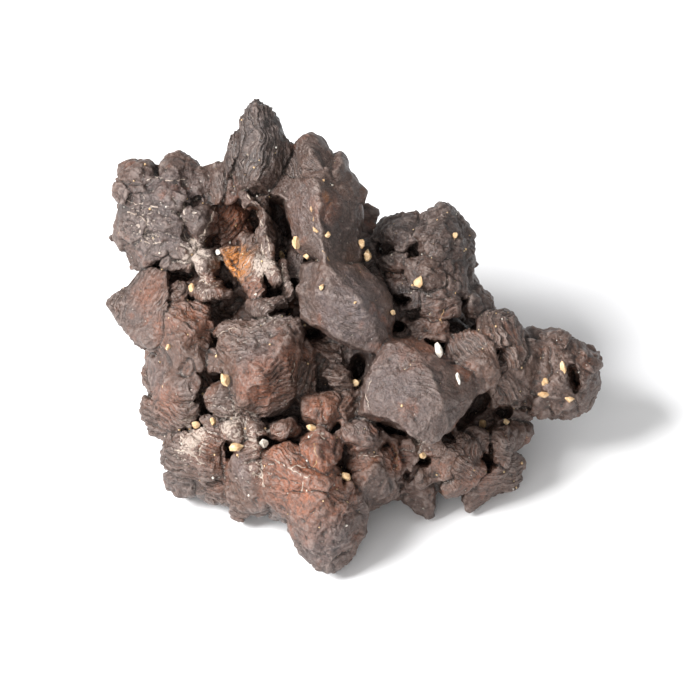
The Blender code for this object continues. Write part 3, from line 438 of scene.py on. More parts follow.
# The round cluster at the upper left: its mass, the knobs that end it, and the facets that face the eye.
LEFT_MASS = [
    Crystal((-25.4, 32.4, 3), (-25.4, 32.4, 15.2), 7.8, 7.8, 0, 4.5, 2, 0.95),
    knob((-28.5, 37, 5), (-30.8, 40, 6), 3.2),
    knob((-24.3, 38, 4.5), (-24.5, 42, 5), 3.4),
    knob((-30, 35, 5), (-33.2, 36.3, 5), 2.8),
    knob((-30.3, 31.8, 5), (-33.6, 31.6, 5), 3),
    knob((-28.5, 28, 6), (-31.2, 26.2, 5.5), 3.2),
    knob((-20, 35.5, 4), (-20.1, 38.9, 5), 3),
    knob((-20.8, 28.8, 8), (-20.8, 28.8, 14.8), 2.2),
]
LEFT_CLUSTER = [
    Block(((-33, 24.6, 9.5), (-30.2, 25.2, 12), (-27.4, 25, 12.6), (-27.3, 23.2, 13.6), (-29.8, 22.6, 13.8),
        (-32.8, 22, 11)), 5),
    Block(((-24, 25.4, 11), (-21.6, 25, 11.4), (-21.4, 22.2, 13.4), (-23.6, 21.6, 14.6)), 6),
    Block(((-32.1, 27.1, 9), (-30.7, 27.6, 9.5), (-28.6, 27.1, 10.5), (-28.2, 25.2, 12.8),
        (-29.8, 23.9, 13.4), (-32.6, 24.1, 11.2), (-33.1, 25.8, 9.2), (-30.5, 26.2, 12.8)), 4),
    Block(((-27.1, 27.4, 10), (-26, 28.3, 9), (-24.6, 28.4, 8.6), (-22.9, 27.4, 9), (-22, 26, 10),
        (-23.1, 24.3, 13), (-25.7, 24, 14), (-27.4, 25.4, 12.6), (-24.9, 26.4, 12.6)), 4),
    Block(((-22, 25.7, 10.6), (-19.7, 26, 10.2), (-18.3, 25, 10.6), (-18.3, 22.1, 11.6),
        (-20.7, 21.4, 13.4), (-22.3, 23.1, 13.4), (-20.4, 24, 13)), 4),
    Block(((-29.6, 22.9, 13), (-27.1, 24.3, 13.4), (-24.6, 24.3, 14), (-23.1, 22.9, 14.6),
        (-24, 20.7, 15.4), (-27.1, 20.3, 15.2), (-29.3, 20.7, 14), (-26.4, 22.4, 15.6)), 6),
    Block(((-23.7, 20.9, 14.4), (-19.7, 21.1, 13.6), (-18.7, 19.3, 13.4), (-19.3, 16.4, 14),
        (-21.7, 15.3, 15), (-23.4, 17.4, 15.4), (-21.2, 19.4, 16.2)), 6),
    Block(((-33.1, 20.7, 10.5), (-34.1, 17.9, 9.5), (-33.7, 15.7, 9.6), (-32.1, 14.3, 10.6),
        (-29.7, 15.7, 14), (-29.1, 18.6, 14.8), (-30.7, 20.6, 13.4), (-31.6, 18, 14)), 4),
    Block(((-33.7, 23.6, 10.4), (-32.3, 24, 12), (-31, 22.4, 13.2), (-31.8, 20.8, 13), (-33.4, 21, 10.8)),
        5),
    Block(((-29.1, 19.7, 14.4), (-25.7, 20.3, 15.4), (-23.7, 18.3, 15.6), (-24.3, 15.7, 15.6),
        (-27.1, 15.4, 15.2), (-28.9, 16.9, 14.6), (-26.3, 18, 16.4)), 6),
    Block(((-32.1, 14.3, 10.4), (-30, 15.7, 13.6), (-26.9, 15.4, 14.8), (-26.4, 13.6, 14.4),
        (-29.3, 11.7, 12), (-30.7, 12.6, 11), (-29, 13.9, 14)), 5),
    Block(((-26.4, 15.4, 14.8), (-22.9, 15.4, 15.2), (-21.4, 14, 15), (-22.6, 12.3, 14.6),
        (-25.7, 12.6, 14.4), (-24, 14, 16)), 6),
]

# The tall crest right of the spire, with a saw edge, and the smooth block below it.
CREST = [
    Block(((-7.9, 29.4, 13.6), (-7.1, 30.7, 13), (-6, 31.3, 13), (-4.6, 30.9, 13.2), (-3.1, 28.9, 13.6),
        (-2.4, 27.1, 14.6), (-4, 25.7, 17.8), (-7.1, 26.4, 17), (-5.6, 28.7, 17)), 9),
    Block(((-2.6, 27.7, 14), (-1.4, 28.3, 13.6), (-0.6, 27.1, 13.8), (-0.4, 25.4, 14.6), (-1.7, 24.3, 17.6),
        (-2.9, 25.7, 17.6), (-1.7, 26.6, 16.8)), 9),
    Block(((-7.1, 25.7, 16.6), (-3.6, 26.4, 17.6), (-0.4, 25.7, 15), (1.7, 23.7, 13.6), (2.4, 22.9, 13.4),
        (1.1, 21.7, 15.8), (-2.9, 21.4, 19), (-4.6, 23.6, 19.4)), 10),
    Block(((-4.6, 24.6, 19.6), (-3.9, 21, 21), (-3.7, 12.6, 22.4), (-9.4, 22, 16), (-8.9, 18, 16.4),
        (-7.4, 14, 17.4), (1.9, 21, 14.6), (1.3, 18, 15), (1.6, 12.4, 16), (-8, 24.5, 16.6)), 10),
    Block(((1.4, 23.6, 13.6), (2.5, 22.9, 13), (2.3, 21.3, 13), (0.9, 20.6, 15.6), (1.2, 22.3, 16)), 10),
    Block(((0.7, 18.6, 14), (2, 17, 13), (1.7, 15.6, 13), (0.6, 15, 15.6), (1, 17, 15.6)), 10),
    Block(((-3.7, 12.6, 22.2), (1.7, 12.4, 17), (5, 9.7, 18), (6, 4.3, 19), (5.6, 1, 20), (4.3, -0.7, 21),
        (2.1, 6.9, 26), (-1.4, 1.3, 23), (-4.6, 2.9, 21.5), (-7.1, 4.6, 20), (-7.6, 8.6, 20),
        (-6.9, 12, 18.6), (-3, 8, 25)), 13),
    Block(((-11.1, 23.6, 13), (-9.6, 24.6, 13.6), (-7.6, 24.3, 15.6), (-7.7, 21.4, 16.6),
        (-9.4, 20.9, 16.6), (-11, 21.7, 15)), 9),
]

# The hollow between the left cluster, the spire and the crest, with thin plates standing in it.
HOLLOW = [
    Block(((-18.6, 21, 11), (-14.6, 21, 8), (-14.4, 15, 9), (-18.3, 14.3, 12.5), (-16.4, 18, 10)), 3),
    Block(((-18.4, 14.6, 15.4), (-14.9, 15, 14), (-14.9, 12, 14.4), (-16.4, 9.9, 15.4), (-17.6, 12, 16.4)),
        8),
    Block(((-15.4, 16.3, 13.6), (-12.4, 16.4, 15.6), (-12.3, 12, 19), (-12.1, 8, 20), (-14.3, 7.1, 20),
        (-15.9, 10, 18), (-15.7, 13, 17)), 11),
    Block(((-15.6, 23, 15.6), (-14.6, 23.3, 15.8), (-12, 19.4, 18.6), (-10.6, 13, 19.6), (-11.6, 13, 19.2),
        (-13.2, 18.6, 18.2), (-13.6, 20.6, 18.6)), 11),
    Block(((-12.1, 15.3, 17.4), (-11, 15, 18.4), (-9.4, 9.6, 20.6), (-9.9, 8.3, 20.8), (-10.7, 8.6, 20.4),
        (-12, 12.4, 19)), 13),
    Block(((-9.6, 13.1, 17.4), (-8.7, 12.6, 18.4), (-8.3, 7.7, 20.6), (-9, 6.9, 20.8), (-9.7, 10, 19.4)),
        13),
    Block(((-27.1, 13, 13.8), (-23.1, 13.4, 14.4), (-22.6, 12, 15), (-23, 11, 14.6), (-26.9, 11.3, 13.6)),
        8),
    Block(((-22, 14.3, 14.6), (-19.1, 14.4, 14.4), (-18.3, 12, 15.6), (-19.4, 10.3, 16.4),
        (-21.4, 10.6, 16), (-22.3, 12.4, 15.6), (-20.4, 12.4, 17.2)), 9),
    Block(((-22.7, 9.7, 15.4), (-19, 10.1, 16), (-16.9, 9.3, 17.2), (-17.4, 7.4, 17.6), (-21.4, 7, 17.4),
        (-23, 8, 16.4), (-19.7, 8.9, 18.2)), 10),
    Block(((-25.7, 9.6, 13.4), (-23.4, 9.4, 14.4), (-23.3, 6.4, 16), (-25.3, 6.6, 15.4), (-24.4, 8, 16)), 9),
    Block(((-15.1, 7, 19.6), (-9.6, 7.3, 20.6), (-9.6, 5, 20.8), (-11, 4.3, 21), (-14.4, 4.9, 20.4),
        (-12.3, 6.3, 22)), 13),
    Block(((-8.9, 15.7, 13), (-6.7, 15, 15), (-6.4, 10.4, 17.4), (-8, 10, 17.6), (-8.6, 13, 16)), 9),
    Block(((-18.6, 25.4, 11), (-16.6, 25, 12), (-15.4, 22, 13), (-17.6, 20.6, 12.6), (-18.9, 22.4, 11.6),
        (-17.2, 23.4, 13.6)), 6),
]

# The pyramid that points left.
ARROW = [
    Block(((-34.6, 6.6, 10.6), (-33.1, 8.4, 10.8), (-29.9, 11.3, 11.4), (-28.6, 11.7, 12),
        (-26.4, 11.3, 14.6), (-26, 8, 16.6), (-25.9, 4.6, 16.4), (-28.1, -0.4, 14.6), (-30, 0.4, 12.6),
        (-33.3, 4, 10.8), (-29.4, 6.6, 15)), 5),
]

# The blocks below the arrow, on the left side.
LEFT_SIDE = [
    Block(((-27.1, 5.4, 15), (-23.6, 6.9, 15.8), (-20.3, 6.3, 16.4), (-19.6, 3.6, 17.6), (-19.9, 0.7, 18.4),
        (-20.7, -3, 18.4), (-25, -4, 17), (-27.9, 0, 14), (-28.1, 2.9, 13.6), (-24.3, 3.6, 20),
        (-22.4, 2.4, 20.6), (-24.4, 0, 20)), 8),
    Block(((-29, -1, 11), (-29.6, -4.3, 10), (-28.9, -6.4, 11), (-25, -2.9, 17.4), (-22, -3, 18.4),
        (-20.9, -5, 18.6), (-22, -7.4, 19), (-26.4, -7.4, 16.4), (-24.6, -5, 19.4)), 6),
    Block(((-29.3, -7, 11), (-29.7, -9.6, 10), (-28.4, -12, 11), (-26, -12.4, 13), (-22.9, -11.4, 17.6),
        (-20.9, -9.6, 18.6), (-21.6, -7.6, 18.6), (-26, -7.4, 17), (-24.6, -9.4, 19)), 6),
    Block(((-20.7, -6.4, 18.6), (-18.9, -4.9, 19.4), (-17, -5.4, 20.4), (-16.6, -8.6, 21), (-17.4, -10, 21),
        (-20, -9, 20), (-18.7, -7, 21.4)), 12),
    Block(((-20.9, 0.3, 17), (-18.7, 0.7, 18), (-17.6, -1.4, 19), (-18, -3.4, 19.4), (-20, -3.6, 18.6),
        (-19.3, -1.4, 19.6)), 11),
]

# The big pyramid that faces the eye, left of the middle, and the small pieces around it.
MIDDLE = [
    Block(((-19.6, 2.9, 19.4), (-18.3, 4, 19.8), (-14.3, 3.7, 21), (-10.7, 3, 22), (-7.4, 4.3, 21.4),
        (-6.9, 2.9, 21.2), (-7, -1.4, 22), (-7.3, -6.4, 22), (-8.6, -7.9, 21.8), (-14.3, -10, 21.6),
        (-16.7, -9.7, 21), (-17.1, -5.7, 21.4), (-18.3, -0.7, 20.4), (-12.6, -4, 27.4), (-14.3, -5.4, 26.6),
        (-9.6, 0, 25.4), (-7.7, -5.4, 23.4)), 12),
    Block(((-6.9, 1.4, 19), (-5, 0, 18.4), (-4.3, -4.3, 18.6), (-4.6, -7.4, 19.4), (-7, -7.4, 20.4),
        (-7, -3, 20.6)), 12),
    Block(((-4.6, 1.4, 16), (-1.4, 0.7, 17), (-0.7, -1.3, 18), (-3, -1.7, 19), (-4.9, 0, 18)), 11),
    Block(((-3.4, -1.6, 17), (0, -1.9, 17.6), (0.3, -5, 19), (-2, -5.6, 20), (-3.7, -4, 19),
        (-1.7, -3.6, 20.6)), 12),
    Block(((-7, -6.4, 20), (-3.6, -6.1, 20.4), (-0.7, -6.4, 20), (-0.6, -9.6, 21), (-3, -11, 22),
        (-6.6, -9.6, 22), (-4, -8, 23)), 14),
    Block(((-1, -5.3, 19.4), (1.6, -5.4, 19), (1.9, -9, 20.4), (0, -9.9, 21.6), (-1.1, -8, 21.4)), 13),
    Block(((-18.4, -10.6, 20.6), (-15.6, -10.1, 22), (-14.7, -12, 23), (-15.6, -13.9, 23),
        (-18.7, -13, 21.6), (-16.9, -11.9, 24)), 14),
    Block(((-14.7, -10, 22.4), (-11.9, -10.1, 22.8), (-11, -12, 23), (-13, -13, 23.6), (-14.9, -12.3, 23.4),
        (-13, -11.3, 24.6)), 14),
    Block(((-11, -10, 22.6), (-8, -9.3, 22.4), (-7.1, -11.4, 22.4), (-8.6, -13, 23), (-11, -12.6, 23.4),
        (-9.4, -11, 24.4)), 14),
    Block(((-15, -13, 23), (-12.7, -13, 23.6), (-12.9, -15.6, 24.6), (-14.9, -15.9, 24.4),
        (-15.6, -14.4, 23.8), (-14, -14.3, 25)), 15),
    Block(((-20.9, -9.9, 18.6), (-18.7, -10, 19.6), (-18.4, -12.3, 20.6), (-20.4, -12.3, 19.4),
        (-19.6, -11, 20.6)), 12),
]

# The smooth loaf-shaped block right of the middle, with the ledge above it.
LOAF = [
    Block(((5, 0.7, 23), (7.1, 1.1, 23), (10.7, -0.5, 23.6), (13.6, -1.7, 22), (16.9, -3.1, 19.6),
        (17.7, -6.4, 19), (16, -8.6, 21.4), (14.4, -11.4, 24.4), (11.7, -12.9, 25.2), (8.9, -12, 25.6),
        (6.4, -10.8, 25.2), (4, -9.4, 24.6), (1.9, -8.7, 24), (1.8, -5.4, 23.8), (3.1, -2.1, 23.4),
        (11.9, -3.6, 26), (13.4, -7.4, 26.6), (7.4, -7.4, 26.2)), 13),
    Block(((5, 1.4, 19), (9, 1.9, 18), (13, 0, 18.6), (14.6, -1.4, 19.6), (10.4, -0.9, 21.8), (6, 0.9, 21)),
        13),
]

# The rough cluster at the upper right, and the broken ground below it.
RIGHT_MASS = [
    Crystal((11.6, 27.6, 3), (11.6, 27.6, 11), 4.6, 5, 0, 2.4, 2, 0.95),
    Crystal((7.6, 27.6, 3), (7.6, 27.6, 9), 4.2, 4.6, 0, 2.4, 2, 0.95),
]
RIGHT_CLUSTER = [
    Block(((16.4, 15, 8), (17.8, 14.4, 7), (18, 11.8, 7.5), (16.6, 11.6, 9.5)), 3),
    Block(((10, 19.4, 9), (11.4, 20.4, 8), (12.9, 21.4, 7.6), (14.6, 20.7, 7.6), (16, 18.9, 7.6),
        (17.1, 17.4, 7.4), (18, 16, 7.4), (17.6, 14, 8.6), (16.6, 12.6, 10), (13.6, 12.6, 14.6),
        (10.7, 13.6, 14.6), (9.3, 16.4, 13.4), (13, 17.6, 13.6), (15, 15.4, 13.4)), 3),
    Block(((3.7, 15.7, 7), (4.9, 17.9, 7), (6.9, 19.4, 7.4), (8.9, 19.7, 8), (10, 18.6, 10),
        (9.7, 15.7, 12.6), (7.9, 14.3, 12), (5, 15, 9.4), (7, 17.4, 11.6)), 2),
    Block(((3.3, 14.6, 7), (6, 14, 10), (8.6, 13.9, 12.4), (8.4, 11.4, 13), (5, 11.4, 11.6),
        (3.4, 12.6, 9)), 3),
    Block(((8, 13.4, 13), (12, 13, 14.8), (14.9, 12.4, 14), (15.4, 9.6, 14), (12, 8.6, 15.6),
        (8.6, 9, 14.6), (11, 11, 16.4)), 6),
    Block(((13.4, 12.4, 13.4), (16.4, 12.4, 10.4), (17, 9.4, 12), (16.6, 7.4, 13), (14, 7.4, 14.6),
        (14.6, 10, 15)), 6),
    Block(((16.1, 11.7, 9.6), (17.7, 11.1, 8.6), (18.3, 9.6, 9), (17.9, 8.4, 10.6), (16.3, 8.9, 12)), 5),
    Block(((16.7, 9.1, 11), (18.7, 9.3, 9.4), (20, 7.9, 8.8), (20.1, 6.1, 9.6), (19, 4.6, 11),
        (16.9, 5, 13), (17.4, 7, 13.4)), 5),
    Block(((5.4, 10, 12), (8, 10, 13.4), (10, 9.4, 14.4), (9.6, 6.4, 15), (7, 6, 14.4), (5.4, 7.6, 13)), 6),
    Block(((10.4, 8.6, 14.6), (13.4, 8.6, 15), (15.7, 7.4, 14), (15, 5, 15), (12, 4.4, 16),
        (10.4, 6, 15.6)), 7),
    Block(((8, 4.6, 14.6), (11, 4.9, 15.6), (14, 4, 16), (14, 1.4, 17.6), (10, 1.6, 17), (8.4, 3, 16)), 8),
    Block(((5.4, 5, 14), (8, 5, 14.4), (8.4, 2, 16), (6.4, 1.6, 16.6)), 8),
]

# The arm on the right.
RIGHT_ARM = [
    Block(((20.5, -6.5, 12), (25, -7, 11), (26, -9.6, 8.5), (23.6, -11.2, 9.5), (20.4, -11, 12)), 3),
    Block(((18, 4.6, 12), (19.6, 5.9, 11.6), (21.4, 5.9, 11), (23.6, 5.3, 11), (24.6, 3.6, 11.4),
        (24.4, 0.7, 14.6), (21, 0, 17.6), (18.6, 1, 17), (21, 3.4, 15.4)), 5),
    Block(((13.9, 2.6, 16), (17.6, 3, 16.6), (20.6, 1, 18), (21.4, -3.6, 18.4), (20, -7.1, 17),
        (17.4, -8, 17.6), (15.4, -4.4, 18.6), (14, -0.6, 18.4), (18, -1.6, 20)), 8),
    Block(((22, 2.9, 14.4), (25, 3, 11.6), (26.6, 1.7, 11.4), (27.7, 0, 12), (28, -3.6, 13), (26, -6.4, 14),
        (22.9, -7.6, 15.4), (21, -5, 17.6), (24, -1.6, 17)), 6),
    Block(((19, -5.6, 17), (22, -5.4, 16.6), (24.4, -6, 14.6), (23, -8, 14.4), (20.6, -8.9, 14.4),
        (19, -8, 15.4)), 8),
]

# The pitted block at the end of the arm.
ARM_END = [
    Block(((27.1, 2, 10.4), (28.9, 2.9, 9), (30.4, 2.9, 8.6), (33.3, 1.4, 8.4), (35.4, -0.4, 7.6),
        (35.7, -5, 7.4), (34.7, -8.3, 7.6), (31.6, -9.4, 8.6), (28.1, -9.3, 9.4), (26.1, -9, 10.6),
        (27, -4, 14), (29.4, 0, 13.6), (32.4, -1.4, 13.4), (33.6, -5, 12.6), (31, -7.4, 13.4),
        (28.6, -6, 14.4)), 4),
    Block(((28, 2.6, 10), (29.6, 3.1, 9.4), (31.4, 2.1, 10), (31, 0.6, 13), (28.7, 0.9, 13)), 6),
    Block(((32.3, 1.1, 9), (34.7, 0, 8.4), (35.7, -2, 8.6), (34.9, -3.7, 11), (32.7, -1.4, 13),
        (33.4, 0, 12)), 5),
    Block(((33, -5, 12.6), (35.6, -5, 8.6), (35, -7.9, 8.6), (33, -8.7, 10), (32.4, -7, 13)), 5),
    Block(((26, -7, 13), (28, -6.4, 13.6), (28.7, -9, 11.4), (27.4, -9.7, 10.6), (25.7, -8.9, 11.6)), 6),
]

# The blocks at the lower right, two of which are feet.
LOWER_RIGHT = [
    Block(((12.9, -14, 17.4), (15, -13.6, 17.6), (17.9, -15, 17), (19.6, -17.1, 15.6), (18.6, -20, 14.6),
        (13.9, -21, 16), (12.6, -18.6, 17.4), (15.7, -16.9, 20.6)), 9),
    Block(((14.9, -11, 17), (17.4, -10.7, 16.4), (19.4, -12, 16), (19.4, -15, 16.4), (16, -15.4, 18.4),
        (15, -13, 18.6), (17, -13, 18.8)), 9),
    Block(((20, -11, 14.6), (22.6, -11, 13.4), (23.7, -13.6, 13.4), (22.6, -17, 14.6), (20.4, -16, 16),
        (20, -13, 16), (21.7, -13.4, 16.6)), 7),
    Block(((22.9, -9.6, 10.6), (24.6, -9.6, 9), (25.9, -11, 8.4), (25.4, -12.9, 8.6), (24.4, -14, 9),
        (22.4, -15, 12.4), (22.9, -12, 13)), 3),
    Block(((23, -14.6, 11.4), (24.4, -15.4, 9.6), (24.4, -16.4, 9.6), (23.6, -20, 10), (19.9, -21.4, 11.4),
        (17, -22.9, 12), (16.1, -21.4, 13.6), (18.6, -19.4, 15.4), (21, -16.6, 15.6)), 4),
    Block(((8, -16, 16), (11, -15, 17), (12.9, -16.4, 17), (12.6, -20, 15.4), (11.9, -23.4, 13),
        (11.1, -23.9, 12.6), (9.6, -23, 13), (7.1, -21.1, 15), (10.1, -18.6, 18)), 8),
    Block(((9.9, -12.4, 17.6), (12.6, -12.4, 18), (13.3, -14.3, 18.4), (12.4, -15.6, 18.4),
        (10, -15, 18.6)), 11),
    Block(((7.6, -13, 18.4), (9, -12.7, 18.6), (10, -15.4, 19), (8.9, -17.3, 19), (7.6, -17.9, 18.6)), 12),
    Block(((5.9, -12.9, 19), (6.9, -12.7, 19.4), (7.4, -16, 20.4), (7.3, -18, 19.6), (6, -16, 19.4)), 12),
    Block(((0, -15, 22), (3, -14.6, 22.6), (5.6, -14.4, 21.6), (6.6, -17.4, 21), (6.9, -20, 19.4),
        (4, -21.6, 20), (1, -20.6, 22.4), (-0.4, -17.6, 23.4), (3, -17, 24.4)), 13),
    Block(((-1.6, -11.6, 23), (0, -10, 22.6), (2.6, -9.7, 22), (5, -11, 21), (5.9, -12.6, 20.4),
        (3.6, -14.6, 22), (1, -14.6, 24), (-1.4, -13.4, 24.4), (2.4, -12.3, 25.6)), 14),
    Block(((2, -20, 20.6), (6, -19.6, 18.6), (7.4, -21, 16.6), (4.6, -22.4, 17), (2.3, -23.4, 18),
        (1.6, -22, 20)), 10),
]

# The long crystal that hangs forward over the table, and what surrounds its root.
FRONT_POINT = [
    Block(((-12.6, -15, 23.6), (-8.6, -13.6, 24.4), (-3.6, -15, 25.4), (-0.7, -17.9, 25), (2.1, -20.7, 23),
        (2.7, -23.6, 21.6), (-0.7, -24.3, 24.6), (-7.1, -24.3, 24.4), (-11.4, -23.6, 21.6),
        (-13.4, -20, 22.4), (-8, -17, 28), (-4, -19, 28.4), (-1, -21.6, 27)), 14),
    Block(((-9.3, -23.6, 23), (-8.6, -26.4, 23), (-7.1, -29.4, 22.6), (-5.3, -31.4, 22.6), (-2.6, -32, 23),
        (-0.7, -30.6, 22.6), (0.7, -28.3, 22.4), (1.9, -26.4, 22), (2.3, -24.3, 22), (-5, -25.7, 27.4),
        (-1.6, -26, 27), (-3, -29, 26.4), (-5.4, -28.6, 26), (-8.4, -20.6, 26.4), (-4.6, -20, 28.2),
        (-0.4, -21.4, 26.8)), 17),
    Block(((-6.9, -12.6, 23.6), (-4.6, -11, 24), (-2, -12.3, 24.4), (-1.6, -15, 25.4), (-3.6, -18, 27),
        (-6, -17, 27), (-6.6, -14.6, 25.6), (-4.3, -14.3, 28)), 17),
    Block(((-18, -14.6, 19.6), (-16, -13.9, 21.6), (-13, -15, 23.4), (-12.6, -19, 23.6), (-12.3, -23.4, 21),
        (-15, -23.4, 18.4), (-17.6, -21.4, 17.4), (-18.6, -17.6, 18.4), (-15.4, -18, 23.4)), 11),
    Block(((0.7, -23, 23.6), (2.6, -23.4, 21.6), (2.1, -25.9, 21.4), (0.6, -26, 23.6), (1.3, -24, 24.4)),
        17),
]

# The lower left, with one foot.
LOWER_LEFT = [
    Block(((-26.3, -12, 15.4), (-24, -11.4, 17), (-20, -11.4, 19), (-18.4, -13.6, 20), (-18.6, -17.6, 19.4),
        (-20.6, -18.9, 18.6), (-25, -18.4, 15.6), (-26.6, -16, 14), (-26.4, -14, 14.4), (-22.6, -14.6, 21),
        (-21, -16.4, 20.6)), 8),
    Block(((-26, -17.4, 14.4), (-26.6, -18.6, 12.6), (-26.3, -19.7, 11.8), (-24.3, -21, 12), (-22, -21, 14),
        (-21, -18.6, 17.4), (-24, -18.4, 16.6)), 7),
    Block(((-22.4, -19, 16.4), (-18.6, -18.6, 18), (-17, -20, 18), (-16.9, -22, 16.6), (-20, -22, 14.6),
        (-22, -21, 14.4)), 8),
    Block(((-17, -20.6, 17.4), (-13.4, -21, 19.4), (-13.6, -23, 17), (-15.4, -24.6, 14),
        (-16.4, -23.6, 14.4)), 10),
    Block(((-12.6, -21, 22), (-9.6, -22.4, 23.4), (-9.4, -24.6, 22), (-11.6, -24.4, 20)), 14),
]

# The back and the underside, with the rear feet: places by the table, x to the right and y to the back.
BACK = [
    Crystal(by_table(-5, 12, 14.5), by_table(-5, 24, 14.5), 18, 14, 0, 2.4, 2, 0.95),
    Crystal(by_table(-4, 10, 10), by_table(-4, 4, 4), 18, 12, 0, 2.4, 2, 0.95),
    Crystal(by_table(-15, 16, 6), by_table(-17, 18, -2), 7, 6, 10, 1.5, 3),
    Crystal(by_table(-4, 22, 6), by_table(-4, 24, -2), 6, 6, 30, 1.5, 3),
    Crystal(by_table(8, 15, 6), by_table(9, 16, -2), 7, 6, 0, 1.5, 3),
    Crystal(by_table(-9, 22, 14), by_table(-11, 30, 15), 7, 6, 20, 1.3, 3),
    Crystal(by_table(4, 21, 12), by_table(6, 29, 12), 7, 6, 0, 1.3, 3),
    Crystal(by_table(-1, 22, 20), by_table(-1, 28, 24), 6, 6, 35, 1.3, 3),
    Crystal(by_table(-20, 14, 13), by_table(-27, 18, 12), 6, 6, 0, 1.3, 3),
    Crystal(by_table(14, 13, 12), by_table(20, 18, 11), 6, 6, 0, 1.3, 3),
    Crystal(by_table(-12, 2, 5), by_table(-13, 0, -2), 5, 5, 0, 1.5, 3),
    Crystal(by_table(4, 0, 5), by_table(4, -2, -2), 6, 5, 20, 1.5, 3),
]

# Masses that a loop coats with crystals: which mass, how many directions, their size, and which sides.
COATED = [
    (BACK[0], 60, 5.0, BEHIND),
    (BACK[1], 30, 4.8, HIDDEN_ONLY),
    (CORES[4], 30, 4.2, HIDDEN_ONLY),
    (CORES[5], 22, 3.6, HIDDEN_ONLY),
    (CORES[8], 22, 3.6, HIDDEN_ONLY),
    (LEFT_MASS[0], 44, 1.7, BEHIND),
    (RIGHT_MASS[0], 26, 2.0, BEHIND),
    (RIGHT_MASS[1], 26, 2.0, BEHIND),
]


@dataclass(frozen=True)
class Region:
    """Crystals that share one kind of surface.

    Args:
        crystals: the crystals.
        surface: what their faces are like.
        rise: height of one growth step, in millimetres.
        depth: how far a step stands out, in millimetres.
        grain: the direction across the steps; None for each crystal's own axis.
    """

    crystals: list[Union[Block, Crystal]]
    surface: Surface = Surface.LEDGED
    rise: float = 0.95
    depth: float = 0.30
    grain: Optional[Place] = None


REGIONS = [
    Region(CORES, Surface.LEDGED, 1.0, 0.25),
    Region(SPIRE, Surface.RIBBED, 0.85, 0.30, (0.97, 0.25, 0.1)),
    Region(LEFT_MASS, Surface.FACETED, 1.0, 0.20),
    Region(LEFT_CLUSTER, Surface.FACETED, 1.0, 0.20, (0.5, 0.8, 0.3)),
    Region(CREST, Surface.SMOOTH, 1.1, 0.25, (0.4, 0.7, 0.5)),
    Region(HOLLOW, Surface.LEDGED, 0.8, 0.25, (0.8, -0.5, 0.3)),
    Region(ARROW, Surface.RIBBED, 0.9, 0.26, (0.9, -0.3, 0.3)),
    Region(LEFT_SIDE, Surface.LEDGED, 0.9, 0.34, (0.25, 0.9, 0.3)),
    Region(MIDDLE, Surface.LEDGED, 0.95, 0.36, (-0.3, 0.85, 0.4)),
    Region(LOAF, Surface.SMOOTH, 1.1, 0.30, (0.35, 0.85, 0.3)),
    Region(RIGHT_MASS, Surface.KNOBBY, 0.9, 0.28),
    Region(RIGHT_CLUSTER, Surface.KNOBBY, 0.9, 0.34, (-0.3, 0.9, 0.3)),
    Region(RIGHT_ARM, Surface.RIBBED, 0.9, 0.34, (0.95, 0.2, 0.3)),
    Region(ARM_END, Surface.KNOBBY, 0.9, 0.30, (0.6, 0.7, 0.3)),
    Region(LOWER_RIGHT, Surface.LEDGED, 1.0, 0.22, (0.5, 0.8, 0.2)),
    Region(FRONT_POINT, Surface.WORN, 1.1, 0.30, (0.3, 0.9, 0.2)),
    Region(LOWER_LEFT, Surface.LEDGED, 1.0, 0.28, (0.4, 0.9, 0.2)),
    Region(BACK, Surface.LEDGED, 1.05, 0.34),
]
COAT_REGION = Region([], Surface.LEDGED, 0.95, 0.30)


class Stain(Enum):
    """What colours a patch of the stone; the charcoal patches are partly painted shade and the lilac ones
    partly painted sheen.
    """

    RUST = "red_rust"
    OCHRE = "ochre"
    FROST = "frost"
    LILAC_AND_SHEEN = "lilac"
    BROWN = "brown"
    CHARCOAL_AND_SHADE = "charcoal"


@dataclass(frozen=True)
class Patch:
    """A round patch of colour on the stone.

    Args:
        place: its middle, in the layout.
        radius: how far it reaches, in millimetres.
        stain: what colours it.
        strength: 1 for full colour in the middle.
    """

    place: Place
    radius: float
    stain: Stain
    strength: float = 1.0


@dataclass(frozen=True)
class Pit:
    """A dark hole between crystals, sunk along the line of sight.

    Args:
        across, up: its middle, in the layout.
        wide, tall: its size, in millimetres.
        lean: turn in the sight plane, in degrees.
        floor: how far out its bottom lies, in the layout.
    """

    across: float
    up: float
    wide: float
    tall: float
    lean: float
    floor: float


